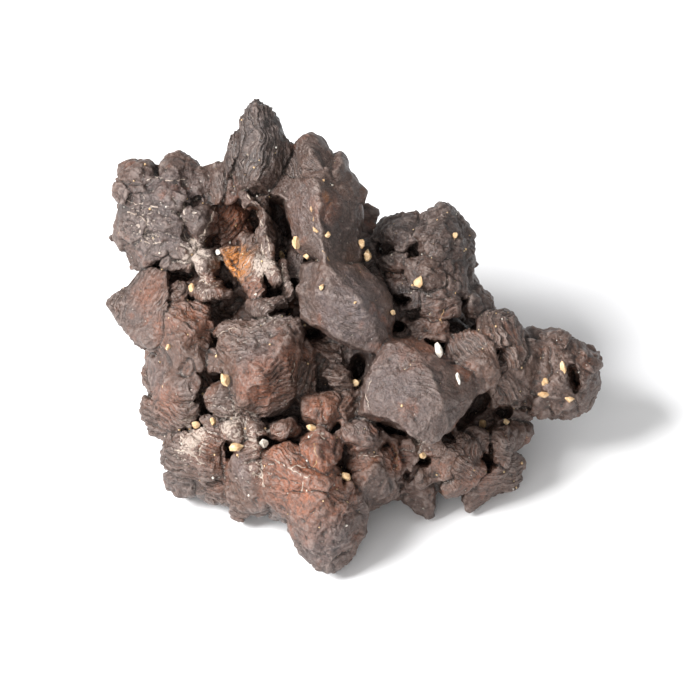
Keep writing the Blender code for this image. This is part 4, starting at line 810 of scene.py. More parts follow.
PITS = [
    Pit(-13.4, 32.2, 2.3, 4.4, 0, 6),
    Pit(-9.8, 32.0, 2.5, 5.8, 12, 6),
    Pit(-23.8, 24.3, 3.2, 1.3, 0, 8),
    Pit(-16.8, 22.9, 1.6, 1.8, 0, 9),
    Pit(-16.4, 20.1, 4.0, 2.0, 25, 10),
    Pit(-9.5, 22.1, 1.6, 1.7, 0, 12),
    Pit(-9.7, 19.1, 3.2, 1.5, 20, 12),
    Pit(1.6, 11.4, 2.2, 3.4, 20, 8),
    Pit(-5.0, 15.9, 3.4, 2.4, -25, 10),
    Pit(6.7, 17.0, 2.1, 2.1, 0, 8),
    Pit(14.2, 18.1, 1.5, 1.3, 0, 9),
    Pit(30.9, 10.3, 1.8, 4.0, 10, 7.5),
    Pit(-0.7, -2.5, 1.3, 3.0, 0, 18),
    Pit(-0.5, 1.1, 1.7, 1.0, 0, 18),
    Pit(5.7, 3.4, 5.6, 1.3, -27, 12),
    Pit(17.7, 6.3, 2.8, 5.0, -35, 7),
    Pit(20.9, 5.2, 3.4, 1.8, 0, 6),
    Pit(14.3, -7.0, 1.8, 1.5, 0, 8),
    Pit(-16.5, -0.3, 1.4, 2.4, -30, 15),
    Pit(-22.7, 3.1, 1.4, 0.8, 0, 13),
    Pit(8.1, -3.2, 0.7, 1.4, 0, 14),
    Pit(10.2, -1.8, 1.9, 1.3, 0, 12),
    Pit(-8.1, 1.8, 1.5, 0.9, 20, 17),
    Pit(-18.3, 15.3, 1.4, 2.2, 0, 12),
    Pit(5.4, 27.8, 3.0, 2.4, 30, 5),
    Pit(7.0, 21.0, 2.4, 1.5, 0, 9),
]


def spots(stain: Stain, *places: tuple[float, float, float, float, float]) -> list[Patch]:
    """Patches of one stain.

    Args:
        stain: what colours them.
        places: where each is seen, across and up, how far out it lies, its radius and its strength.

    Returns:
        The patches, placed in the layout.
    """
    return [Patch(tuple(seen(across, up, out)), radius, stain, strength)
            for across, up, out, radius, strength in places]


PATCHES = [
    *spots(Stain.RUST, (-16.4, 18.0, 10, 4.6, 1.0), (-3.0, 20.5, 20, 2.4, 0.9), (-12.0, -5.0, 25, 4.5, 0.8),
           (-8.5, -2.0, 24, 3.0, 0.7), (-6.0, -18.0, 26, 7.5, 1.0), (-9.5, -15.5, 25, 4.5, 0.9),
           (-4.0, -23.0, 25, 3.6, 0.7), (-3.5, -8.4, 22, 3.0, 0.8), (-22.5, 4.0, 17, 3.6, 0.8),
           (-26.0, 3.0, 15, 2.6, 0.6), (-26.5, -7.5, 16, 3.4, 0.6), (-20.5, -14.0, 19, 3.0, 0.7),
           (6.4, -15.0, 20, 2.6, 0.9), (11.0, 0.2, 20, 4.0, 0.5), (-13.5, 8.5, 19, 2.6, 0.6),
           (2.0, 13.0, 19, 2.4, 0.7), (18.0, -16.5, 16, 4.0, 0.5), (13.5, 5.0, 16, 4.0, 0.4),
           (-28.5, 8.0, 14, 3.4, 0.5)),
    *spots(Stain.OCHRE, (-16.2, 12.4, 16, 3.0, 1.0), (-17.6, 13.6, 16, 1.6, 0.8),
           (-15.6, 10.6, 16.5, 1.4, 0.9),
           (-2.8, 22.0, 20, 1.2, 0.6), (1.2, 15.0, 18, 1.2, 0.5)),
    *spots(Stain.BROWN, (7.0, -7.0, 25, 7.5, 0.7), (-24.0, 27.0, 11, 5.5, 0.9), (-31.0, 25.0, 11, 4.0, 0.7),
           (14.0, 17.0, 12, 7.5, 1.0),
           (22.0, 0.0, 16, 7.0, 1.0), (30.0, -3.0, 11, 7.5, 1.0), (15.0, -6.0, 21, 4.0, 1.0),
           (15.0, -16.0, 17, 8.0, 0.9), (2.0, -16.5, 22, 5.0, 0.6), (-22.0, 0.0, 18, 6.0, 0.7),
           (-1.5, -4.0, 20, 5.0, 0.8), (-11.0, 12.0, 19, 4.0, 0.7), (-16.0, -2.0, 22, 4.0, 0.6)),
    # Charcoal: near-black tone, and painted shade in the recesses under the right arm, below the right
    # cluster and below the crest block.
    *spots(Stain.CHARCOAL_AND_SHADE, (-13.0, 31.0, 15, 9.5, 1.0), (-16.0, 26.0, 14, 6.0, 0.9),
           (-1.0, 18.0, 19, 6.0, 0.8),
           (-3.0, 27.0, 16, 6.0, 0.6), (-27.0, 25.0, 12, 8.0, 0.6), (8.0, 17.0, 11, 5.5, 1.0),
           (14.0, 16.0, 12, 9.0, 0.9), (19.0, 7.0, 12, 4.0, 0.5), (7.0, -6.0, 25, 8.0, 0.45),
           (8.5, 8.0, 14, 6.0, 1.0), (13.0, 8.0, 14, 5.0, 0.7), (-22.0, 22.0, 14, 4.0, 0.4),
           (2.0, -1.0, 17, 4.0, 1.0), (15.0, -8.5, 14, 5.0, 0.8), (18.5, -10.0, 14, 4.0, 0.7)),
    # Lilac: lilac grey tone, and painted sheen on the smooth crest block and the loaf.
    *spots(Stain.LILAC_AND_SHEEN, (1.0, 5.0, 24, 6.5, 0.9), (-6.0, 20.0, 18, 4.0, 0.6), (6.5, -5.5, 25, 6.5, 0.6),
           (-13.0, 0.0, 25, 4.0, 0.5), (-26.5, 22.0, 15, 6.0, 0.7), (-27.0, 16.0, 14, 4.0, 0.5),
           (-16.0, -17.0, 23, 3.0, 0.8), (-2.5, -27.5, 26, 4.0, 0.8), (-4.0, -13.5, 26, 3.0, 0.8),
           (2.0, -12.0, 24, 3.0, 0.5), (-10.5, 6.0, 21, 3.0, 0.5), (-28.0, -4.0, 14, 3.0, 0.4)),
    *spots(Stain.FROST, (-13.4, -12.5, 24, 2.6, 0.6), (-22.5, -13.0, 19, 3.4, 0.8),
           (-17.0, -11.5, 22, 3.0, 0.8),
           (-20.0, -8.0, 20, 3.0, 0.35), (-21.5, 13.0, 15, 3.6, 0.8), (-12.4, 12.0, 19, 2.8, 0.8),
           (-9.0, 10.0, 20, 2.0, 0.5), (-11.0, 5.5, 21, 3.0, 0.45), (-20.0, 8.5, 17, 2.6, 0.5),
           (-28.0, 18.0, 14, 4.0, 0.3), (-24.0, 20.0, 15, 3.0, 0.3), (-6.0, -10.5, 24, 3.0, 0.4),
           (-14.0, -17.0, 24, 2.6, 0.5), (10.5, -13.0, 18, 2.4, 0.4), (-3.0, -9.0, 22, 1.6, 0.4),
           (-8.0, 21.5, 16, 2.6, 0.3)),
]


# The odd numbers that scramble a cell's three places, its seed and the mixture, twice.
PLACE_SCRAMBLERS = (0x8DA6B343, 0xD8163841, 0xCB1AB31F)
SEED_SCRAMBLER = 0x9E3779B9
MIX_SCRAMBLERS = ((13, 0x5BD1E995), (15, 0x27D4EB2D))
HIGHEST_WHOLE = 0xFFFFFFFF


def hashed(cell: np.ndarray, seed: int) -> np.ndarray:
    """A number from 0 to 1 for each whole-numbered cell.

    Args:
        cell: three whole numbers a row.
        seed: picks another set of numbers.

    Returns:
        One number a row.
    """
    with np.errstate(over="ignore"):
        mixed = np.uint32((seed * SEED_SCRAMBLER) & HIGHEST_WHOLE)
        for i, scrambler in enumerate(PLACE_SCRAMBLERS):
            mixed = mixed ^ cell[:, i].astype(np.int64).astype(np.uint32) * np.uint32(scrambler)
        for places, scrambler in MIX_SCRAMBLERS:
            mixed = (mixed ^ (mixed >> np.uint32(places))) * np.uint32(scrambler)
    return (mixed ^ (mixed >> np.uint32(16))).astype(float) / HIGHEST_WHOLE


def waves(points: np.ndarray, size: float, seed: int) -> np.ndarray:
    """Smooth noise from -1 to 1.

    Args:
        points: places, one a row.
        size: distance between bumps, in the points' unit.
        seed: picks another noise.

    Returns:
        One value a point.
    """
    scaled = points / size
    cell = np.floor(scaled)
    part = scaled - cell
    part = part * part * (3 - 2 * part)
    total = np.zeros(len(points))
    for corner in range(8):
        step = np.array([corner & 1, corner >> 1 & 1, corner >> 2 & 1])
        share = np.prod(np.where(step == 1, part, 1 - part), axis=1)
        total += share * hashed(cell + step, seed)
    return total * 2 - 1


def cells_around(scaled: np.ndarray, seed: int) -> Iterator[tuple[np.ndarray, np.ndarray]]:
    """The 27 cells round each point, one after another.

    Args:
        scaled: places, in cells.
        seed: picks another set of middles.

    Returns:
        Pairs of the cell and the uneven place of its middle, for each point.
    """
    cell = np.floor(scaled)
    for number in range(27):
        other = cell + (np.array([number % 3, number // 3 % 3, number // 9]) - 1.0)
        yield other, other + np.stack([hashed(other, seed + i) for i in range(3)], axis=1)


# How sharply facets meet, how narrow their creases are, and how steeply a knob falls.
FACET_SHARPNESS = 14.0
CREASE_SHARPNESS = 12.0
KNOB_FALL = 1.6
# No middle of a cell is further off than this, squared, in cells.
CELL_FAR = 9.0


def facets(points: np.ndarray, size: float, seed: int) -> tuple[np.ndarray, np.ndarray]:
    """Flat facets that lean every way and meet along creases.

    Args:
        points: places, one a row.
        size: width of a facet, in the points' unit.
        seed: picks another set of facets.

    Returns:
        The lean's height at each point, from about -1 to 1, and how near a crease is, from 0 to 1.
    """
    scaled = points / size
    total, weight = np.zeros(len(points)), np.zeros(len(points))
    nearest, second = np.full(len(points), CELL_FAR), np.full(len(points), CELL_FAR)
    for other, middle in cells_around(scaled, seed):
        lean = np.stack([hashed(other, seed + 5 + i) for i in range(3)], axis=1) * 2 - 1
        away = scaled - middle
        distance = (away**2).sum(axis=1)
        share = np.exp(-FACET_SHARPNESS * distance)
        total += share * (away * lean).sum(axis=1)
        weight += share
        second = np.minimum(second, np.maximum(nearest, distance))
        nearest = np.minimum(nearest, distance)
    crease = np.exp(-(np.sqrt(second) - np.sqrt(nearest)) * CREASE_SHARPNESS)
    return total / np.maximum(weight, TINY * TINY), crease


def pebbles(points: np.ndarray, size: float, seed: int) -> np.ndarray:
    """Rounded knobs: 1 in the middle of a knob, falling to 0 and less between knobs.

    Args:
        points: places, one a row.
        size: distance between knobs, in the points' unit.
        seed: picks another set of knobs.

    Returns:
        One value a point.
    """
    scaled = points / size
    nearest = np.full(len(points), CELL_FAR)
    for _, middle in cells_around(scaled, seed):
        nearest = np.minimum(nearest, ((scaled - middle) ** 2).sum(axis=1))
    return 1 - KNOB_FALL * nearest


@dataclass(frozen=True)
class SightPlane:
    """Turns the layout, in millimetres, into the table's frame, in metres, and back.

    Args:
        lean: how far the plane leans back.
        shift: how far the stone is slid over the table, in millimetres.
        eye_distance: from the eye to the plane, in millimetres.
        eye_up: how far up the plane the eye looks, in millimetres.
    """

    lean: float = LEAN
    shift: tuple[float, float] = CENTRE_SHIFT
    eye_distance: float = EYE_DISTANCE
    eye_up: float = EYE_UP

    def turn(self) -> np.ndarray:
        """The columns across, up and out, in the table's frame."""
        across = (1, 0, 0)
        up = (0, math.sin(self.lean), math.cos(self.lean))
        out = (0, -math.cos(self.lean), math.sin(self.lean))
        return np.array([across, up, out]).T

    def to_table(self, points: np.ndarray) -> np.ndarray:
        """Layout millimetres to metres over the table."""
        return (points @ self.turn().T + np.array([*self.shift, 0.0])) * MM

    def to_layout(self, points: np.ndarray) -> np.ndarray:
        """Metres over the table to layout millimetres."""
        return (points / MM - np.array([*self.shift, 0.0])) @ self.turn()

    def eye(self) -> Vector:
        """Where the eye is, over the table."""
        return Vector(self.to_table(np.array([[0.0, self.eye_up, self.eye_distance]]))[0])

    def seen_at(self, across: float, up: float) -> Vector:
        """The point of the sight plane that is seen so far right of and above the middle of the picture."""
        return Vector(self.to_table(np.array([[across, self.eye_up + up, 0.0]]))[0])


class NodeKit:
    """Short ways to build a node tree."""

    def __init__(self, tree: bpy.types.NodeTree) -> None:
        """Keeps the tree."""
        self.tree = tree

    def add(self, kind: str, **settings: object) -> bpy.types.Node:
        """A node of a kind, with its settings."""
        node = self.tree.nodes.new(kind)
        for name, value in settings.items():
            setattr(node, name, value)
        return node

    def join(self, source: object, target: object) -> None:
        """Links an output to an input."""
        self.tree.links.new(source, target)

    def feed(self, socket: bpy.types.NodeSocket, value: object) -> None:
        """Links an output to a socket, or sets the socket to a number or colour."""
        if isinstance(value, bpy.types.NodeSocket):
            self.join(value, socket)
        else:
            socket.default_value = value

    def maths(self, operation: str, *values: object, clamp: bool = False) -> bpy.types.NodeSocket:
        """The result of a Math node."""
        node = self.add("ShaderNodeMath", operation=operation, use_clamp=clamp)
        for socket, value in zip(node.inputs, values):
            self.feed(socket, value)
        return node.outputs[0]

    def spread(self, value: object, low: float, high: float, to_low: float = 0.0, to_high: float = 1.0
               ) -> bpy.types.NodeSocket:
        """A value mapped smoothly from one range to another."""
        node = self.add("ShaderNodeMapRange", interpolation_type="SMOOTHSTEP")
        for socket, given in zip(node.inputs, (value, low, high, to_low, to_high)):
            self.feed(socket, given)
        return node.outputs["Result"]

    def noise(self, where: object, scale: float, detail: float = 4.0, roughness: float = 0.55,
              distortion: float = 0.0) -> bpy.types.NodeSocket:
        """The value of a Noise node."""
        node = self.add("ShaderNodeTexNoise")
        self.feed(node.inputs["Vector"], where)
        for name, value in (("Scale", scale), ("Detail", detail), ("Roughness", roughness),
                            ("Distortion", distortion)):
            node.inputs[name].default_value = value
        return node.outputs["Fac"]

    def mix(self, share: object, first: object, second: object) -> bpy.types.NodeSocket:
        """Two colours mixed."""
        node = self.add("ShaderNodeMix", data_type="RGBA", blend_type="MIX")
        self.feed(node.inputs["Factor"], share)
        self.feed(node.inputs["A"], first)
        self.feed(node.inputs["B"], second)
        return node.outputs["Result"]

    def times(self, first: object, second: object) -> bpy.types.NodeSocket:
        """The product of two values."""
        return self.maths("MULTIPLY", first, second)

    def weathered(self, group: bpy.types.NodeTree, where: object, scale: float) -> bpy.types.Node:
        """The weathering group, laid out over a place at a scale."""
        wear = self.add("ShaderNodeGroup", node_tree=group)
        self.feed(wear.inputs["Vector"], where)
        wear.inputs["Scale"].default_value = scale
        return wear

    def bump(self, height: object, strength: float, distance: float) -> bpy.types.Node:
        """A Bump node."""
        node = self.add("ShaderNodeBump")
        node.inputs["Strength"].default_value = strength
        node.inputs["Distance"].default_value = distance
        self.feed(node.inputs["Height"], height)
        return node

    def attribute(self, name: str) -> bpy.types.NodeSocket:
        """The value of a point attribute."""
        return self.add("ShaderNodeAttribute", attribute_name=name).outputs["Fac"]

    def place(self) -> bpy.types.NodeSocket:
        """Object coordinates."""
        return self.add("ShaderNodeTexCoord").outputs["Object"]


def new_group(name: str, inputs: dict[str, tuple[str, object]], outputs: dict[str, str]
              ) -> tuple[bpy.types.NodeTree, NodeKit, bpy.types.Node, bpy.types.Node]:
    """An empty shader node group.

    Args:
        name: the group's name.
        inputs: socket kind and default by name.
        outputs: socket kind by name.

    Returns:
        The group, its kit, and its input and output nodes.
    """
    tree = bpy.data.node_groups.new(name, "ShaderNodeTree")
    for title, (kind, default) in inputs.items():
        socket = tree.interface.new_socket(title, in_out="INPUT", socket_type=kind)
        if default is not None:
            socket.default_value = default
    for title, kind in outputs.items():
        tree.interface.new_socket(title, in_out="OUTPUT", socket_type=kind)
    kit = NodeKit(tree)
    return tree, kit, kit.add("NodeGroupInput"), kit.add("NodeGroupOutput")


class Effects:
    """The node groups that the materials share, each built once."""

    # Scale per metre, detail, roughness and distortion of each noise.
    BROAD = (90.0, 3.0)
    FINE = (700.0, 5.0, 0.65, 0.6)
    GRIT = (3200.0, 3.0, 0.7)
    WRINKLES = (1300.0, 2.0, 0.5, 1.2)
    WRINKLE_BY = (0.42, 0.5)
    GRIT_HEIGHT = 0.45
    WRINKLE_HEIGHT = 0.12
    # Specks show above this noise, less far down the more dust there is, with this contrast.
    SPECK_EDGE = 0.72
    SPECK_REACH = 0.42
    SPECK_CONTRAST = 9.0
    SPECK_DETAIL = 4.0
    SPECK_ROUGHNESS = 0.7

    def __init__(self) -> None:
        """Builds the groups."""
        self.weathering = self.build_weathering()
        self.dusting = self.build_dusting()

    def build_weathering(self) -> bpy.types.NodeTree:
        """Uneven colour in three sizes, fine relief and pits.

        Returns:
            The group, with outputs Broad, Fine, Grit and Height.
        """
        tree, kit, given, result = new_group(
            "weathering",
            {"Vector": ("NodeSocketVector", None), "Scale": ("NodeSocketFloat", 1.0)},
            {"Broad": "NodeSocketFloat", "Fine": "NodeSocketFloat", "Grit": "NodeSocketFloat",
             "Height": "NodeSocketFloat"},
        )
        place = kit.add("ShaderNodeVectorMath", operation="SCALE")
        kit.join(given.outputs["Vector"], place.inputs[0])
        kit.join(given.outputs["Scale"], place.inputs["Scale"])
        where = place.outputs[0]
        broad, fine, grit = (kit.noise(where, *form) for form in (self.BROAD, self.FINE, self.GRIT))
        wrinkles = kit.spread(kit.noise(where, *self.WRINKLES), *self.WRINKLE_BY)
        height = kit.maths("ADD", fine, kit.times(grit, self.GRIT_HEIGHT))
        height = kit.maths("ADD", height, kit.times(wrinkles, self.WRINKLE_HEIGHT))
        for name, value in (("Broad", broad), ("Fine", fine), ("Grit", grit), ("Height", height)):
            kit.join(value, result.inputs[name])
        return tree

    def build_dusting(self) -> bpy.types.NodeTree:
        """Specks of dust that thicken with an amount.

        Returns:
            The group, with output Mask.
        """
        tree, kit, given, result = new_group(
            "dusting",
            {"Vector": ("NodeSocketVector", None), "Amount": ("NodeSocketFloat", 0.5),
             "Speck Scale": ("NodeSocketFloat", 2200.0)},
            {"Mask": "NodeSocketFloat"},
        )
        specks = kit.add("ShaderNodeTexNoise")
        kit.join(given.outputs["Vector"], specks.inputs["Vector"])
        kit.join(given.outputs["Speck Scale"], specks.inputs["Scale"])
        specks.inputs["Detail"].default_value = self.SPECK_DETAIL
        specks.inputs["Roughness"].default_value = self.SPECK_ROUGHNESS
        reach = kit.times(given.outputs["Amount"], self.SPECK_REACH)
        edge = kit.maths("SUBTRACT", self.SPECK_EDGE, reach)
        over = kit.maths("SUBTRACT", specks.outputs["Fac"], edge)
        mask = kit.maths("MULTIPLY", over, self.SPECK_CONTRAST, clamp=True)
        kit.join(mask, result.inputs["Mask"])
        return tree


@dataclass(frozen=True)
class IronOxide:
    """Dark brown to lilac-grey iron oxide with a dull waxy shine, rusty in the hollows, with painted sheen
    and painted shade in its colour.

    Args:
        body: the usual colour.
        brown: the warmer brown of weathered faces.
        lilac: the lilac grey of some faces, and the painted sheen of smooth faces.
        charcoal: the near black of some faces, and painted shade in recesses.
        shade_and_speck: the painted shade deep between crystals, and the colour of the dark specks.
        worn: the colour of worn edges.
        rust, ochre, frost: the stains.
        brown_share to dust_share: how far each colour covers what is under it.
        brown_by to dust_by: the range of the noise or the attribute over which each colour comes in,
            with the range of its strength where that isn't 0 to 1.
        rough_by: the range of the fine noise, and the roughness over it.
        rust_scale, bend_scale, speck_scale: how fine the noise of rust, layers and dust is, per metre.
        bend_reach: how far the layers bend, in steps of growth.
        layers_a_step: how many layers one step of growth has.
        layer_top: where a layer breaks off.
        grain_height, layer_height: how far the grain and the layers stand out, in metres.
        layer_strength: how strongly the layers show.
        frost_dullness: how much rougher frost is.
        shine: the strength of reflections.
    """

    body: Colour = (0.068, 0.043, 0.035, 1)
    brown: Colour = (0.084, 0.040, 0.025, 1)
    lilac: Colour = (0.106, 0.082, 0.083, 1)
    charcoal: Colour = (0.026, 0.018, 0.017, 1)
    shade_and_speck: Colour = (0.012, 0.008, 0.006, 1)
    worn: Colour = (0.190, 0.145, 0.125, 1)
    rust: Colour = (0.235, 0.072, 0.028, 1)
    ochre: Colour = (0.720, 0.250, 0.030, 1)
    frost: Colour = (0.400, 0.330, 0.280, 1)

    brown_share: float = 0.8
    painted_sheen_share: float = 0.35
    lilac_and_sheen_share: float = 0.75
    loose_rust_share: float = 0.45
    speckle_share: float = 0.5
    grit_share: float = 0.6
    painted_shade_share: float = 0.85
    layer_share: float = 0.5
    frost_share: float = 0.75
    dust_share: float = 0.4

    brown_by: Range = (0.35, 0.65)
    lilac_by: Range = (0.25, 0.6)
    painted_sheen_by: Range = (0.48, 0.75)
    rust_by: Range = (0.28, 0.56)
    loose_rust_by: Range = (0.56, 0.72)
    ochre_by: Range = (0.36, 0.50)
    charcoal_by: tuple[float, ...] = (0.7, 0.3, 0.5, 1.0)
    speckle_by: Range = (0.56, 0.36)
    ridge_by: Range = (-0.1, -0.7)
    wear_by: Range = (0.35, 0.65)
    grit_by: Range = (0.56, 0.72)
    charcoal_and_shade_edges_by: tuple[float, ...] = (0.2, 1.0, 0.6, 0.15)
    # cavity_by, hollow_by and seam_by set where painted shade falls in cavities, hollows and seams.
    cavity_by: Range = (0.15, 1.1)
    hollow_by: Range = (0.3, 0.9)
    seam_by: tuple[float, ...] = (0.25, 1.0, 0.0, 0.8)
    dust_by: Range = (0.1, 0.8)
    rough_by: tuple[float, ...] = (0.3, 0.7, 0.36, 0.54)

    rust_scale: float = 260.0
    bend_scale: float = 420.0
    speck_scale: float = 1900.0
    bend_reach: float = 1.1
    layers_a_step: float = 2.6
    layer_top: Range = (1.0, 0.8)
    grain_height: float = 0.00034
    layer_height: float = 0.00018
    layer_strength: float = 0.8
    frost_dullness: float = 0.25
    shine: float = 0.55

    def layers(self, kit: NodeKit, where: bpy.types.NodeSocket) -> bpy.types.NodeSocket:
        """Fine layers that run along the growth steps.

        Args:
            kit: the material's node kit.
            where: object coordinates.

        Returns:
            The height in each layer, from 0 to 1.
        """
        bend = kit.times(kit.noise(where, self.bend_scale, 3.0), self.bend_reach)
        layer = kit.times(kit.maths("ADD", kit.attribute("growth"), bend), self.layers_a_step)
        step = kit.maths("FRACT", layer)
        step = kit.times(step, kit.spread(step, *self.layer_top))
        return kit.times(step, kit.attribute("lines"))

    def stained(self, kit: NodeKit, where: bpy.types.NodeSocket, wear: bpy.types.Node
                ) -> tuple[bpy.types.NodeSocket, bpy.types.NodeSocket]:
        """The stone's colours with the stains, painted sheen and the charcoal patches, which are partly
        painted shade, before wear, painted shade and dust.

        Args:
            kit: the material's node kit.
            where: object coordinates.
            wear: the weathering group.

        Returns:
            The colour, and how much of it is charcoal, which is partly painted shade.
        """
        broad, fine = wear.outputs["Broad"], wear.outputs["Fine"]
        colour = kit.mix(kit.spread(broad, *self.brown_by), self.body, self.brown)
        colour = kit.mix(kit.times(kit.attribute(Stain.BROWN.value), self.brown_share), colour, self.brown)
        lilac = kit.times(kit.attribute(Stain.LILAC_AND_SHEEN.value), kit.spread(fine, *self.lilac_by))
        # Painted sheen: lilac grey wherever the fine noise is high, on top of the lilac patches.
        sheen = kit.times(kit.spread(fine, *self.painted_sheen_by), self.painted_sheen_share)
        lilac = kit.maths("ADD", lilac, sheen, clamp=True)
        colour = kit.mix(kit.times(lilac, self.lilac_and_sheen_share), colour, self.lilac)
        rust = kit.times(kit.attribute(Stain.RUST.value), kit.spread(fine, *self.rust_by))
        loose = kit.spread(kit.noise(where, self.rust_scale, 5.0), *self.loose_rust_by)
        rust = kit.maths("MAXIMUM", rust, kit.times(loose, self.loose_rust_share))
        colour = kit.mix(rust, colour, self.rust)
        ochre = kit.times(kit.attribute(Stain.OCHRE.value), kit.spread(fine, *self.ochre_by))
        colour = kit.mix(ochre, colour, self.ochre)
        # Charcoal patches: near-black tone, partly painted shade in recesses.
        charcoal = kit.times(kit.attribute(Stain.CHARCOAL_AND_SHADE.value), kit.spread(fine, *self.charcoal_by))
        return kit.mix(charcoal, colour, self.charcoal), charcoal

    def aged_and_shaded(self, kit: NodeKit, wear: bpy.types.Node, step: bpy.types.NodeSocket,
             colour: bpy.types.NodeSocket, charcoal: bpy.types.NodeSocket) -> bpy.types.NodeSocket:
        """The colour with dark specks, worn edges and painted shade in the cavities, hollows and seams
        between crystals.

        Args:
            kit: the material's node kit.
            wear: the weathering group.
            step: the height in each layer.
            colour: the stained colour.
            charcoal: how much of it is charcoal, which is partly painted shade; worn edges fade there.

        Returns:
            The colour.
        """
        fine, grit = wear.outputs["Fine"], wear.outputs["Grit"]
        cavity = kit.attribute("cavity")
        specks = kit.times(kit.spread(grit, *self.speckle_by), self.speckle_share)
        colour = kit.mix(specks, colour, self.shade_and_speck)
        edges = kit.times(kit.spread(cavity, *self.ridge_by), kit.spread(fine, *self.wear_by))
        grains = kit.times(kit.spread(grit, *self.grit_by), self.grit_share)
        edges = kit.maths("ADD", edges, grains, clamp=True)
        edges = kit.times(edges, kit.spread(charcoal, *self.charcoal_and_shade_edges_by))
        colour = kit.mix(edges, colour, self.worn)
        # Painted shade: cavities, wide hollows and seams between crystals are darkened towards the shade
        # colour.
        hollow = kit.spread(kit.attribute("hollow"), *self.hollow_by)
        dark = kit.maths("MAXIMUM", kit.spread(cavity, *self.cavity_by), hollow)
        dark = kit.maths("MAXIMUM", dark, kit.spread(kit.attribute("seam"), *self.seam_by))
        colour = kit.mix(kit.times(dark, self.painted_shade_share), colour, self.shade_and_speck)
        return kit.mix(kit.times(kit.times(grit, step), self.layer_share), colour, self.worn)

    def dusted(self, kit: NodeKit, effects: Effects, where: bpy.types.NodeSocket) -> bpy.types.NodeSocket:
        """Frost in its patches and dust in the cavities.

        Args:
            kit: the material's node kit.
            effects: the shared node groups.
            where: object coordinates.

        Returns:
            The mask of the dust.
        """
        dust = kit.add("ShaderNodeGroup", node_tree=effects.dusting)
        kit.feed(dust.inputs["Vector"], where)
        dust.inputs["Speck Scale"].default_value = self.speck_scale
        resting = kit.times(kit.spread(kit.attribute("cavity"), *self.dust_by), self.dust_share)
        kit.feed(dust.inputs["Amount"], kit.maths("ADD", kit.attribute(Stain.FROST.value), resting))
        return dust.outputs["Mask"]

    def material(self, effects: Effects) -> bpy.types.Material:
        """Builds the material.

        Args:
            effects: the shared node groups.

        Returns:
            The material.
        """
        made = bpy.data.materials.new("iron_oxide")
        made.use_nodes = True
        kit = NodeKit(made.node_tree)
        shader = made.node_tree.nodes["Principled BSDF"]
        where = kit.place()
        wear = kit.weathered(effects.weathering, where, 1.0)
        step = self.layers(kit, where)
        dust = self.dusted(kit, effects, where)
        colour = self.aged_and_shaded(kit, wear, step, *self.stained(kit, where, wear))
        colour = kit.mix(kit.times(dust, self.frost_share), colour, self.frost)
        kit.join(colour, shader.inputs["Base Color"])

        rough = kit.spread(wear.outputs["Fine"], *self.rough_by)
        rough = kit.maths("ADD", rough, kit.times(dust, self.frost_dullness), clamp=True)
        kit.join(rough, shader.inputs["Roughness"])
        shader.inputs["Metallic"].default_value = 0.0
        shader.inputs["Specular IOR Level"].default_value = self.shine

        grain = kit.bump(wear.outputs["Height"], 1.0, self.grain_height)
        steps = kit.bump(step, self.layer_strength, self.layer_height)
        kit.join(grain.outputs["Normal"], steps.inputs["Normal"])
        kit.join(steps.outputs["Normal"], shader.inputs["Normal"])
        return made


@dataclass(frozen=True)
class SandQuartz:
    """Frosted quartz sand.

    Args:
        name: the material's name.
        pale: the lighter colour.
        deep: the darker colour.
        see_through: share of light that passes.
        depth: how far red, green and blue light goes in, in metres.
        grain_scale: how fine the grain is, against the stone's.
        grain_height: how far the grain stands out, in metres.
        grain_strength: how strongly the grain shows.
        pale_by, rough_by: the range of the noise over which the colour and the roughness change.
    """

    name: str
    pale: Colour
    deep: Colour
    see_through: float = 0.25
    depth: tuple[float, ...] = (0.0006, 0.0004, 0.0003)
    grain_scale: float = 1.6
    grain_height: float = 0.0001
    grain_strength: float = 0.5
    pale_by: Range = (0.3, 0.7)
    rough_by: tuple[float, ...] = (0.3, 0.7, 0.3, 0.55)

    def material(self, effects: Effects) -> bpy.types.Material:
        """Builds the material.

        Args:
            effects: the shared node groups.

        Returns:
            The material.
        """
        made = bpy.data.materials.new(self.name)
        made.use_nodes = True
        kit = NodeKit(made.node_tree)
        shader = made.node_tree.nodes["Principled BSDF"]
        wear = kit.weathered(effects.weathering, kit.place(), self.grain_scale)
        colour = kit.mix(kit.spread(wear.outputs["Fine"], *self.pale_by), self.deep, self.pale)
        kit.join(colour, shader.inputs["Base Color"])
        kit.join(kit.spread(wear.outputs["Grit"], *self.rough_by), shader.inputs["Roughness"])
        shader.inputs["Subsurface Weight"].default_value = self.see_through
        shader.inputs["Subsurface Radius"].default_value = self.depth
        shader.inputs["Subsurface Scale"].default_value = 1.0
        relief = kit.bump(wear.outputs["Height"], self.grain_strength, self.grain_height)
        kit.join(relief.outputs["Normal"], shader.inputs["Normal"])
        return made


# The rims of pits change slowly along the line of sight.
DRAWN_OUT = np.array([1, 1, 0.3])


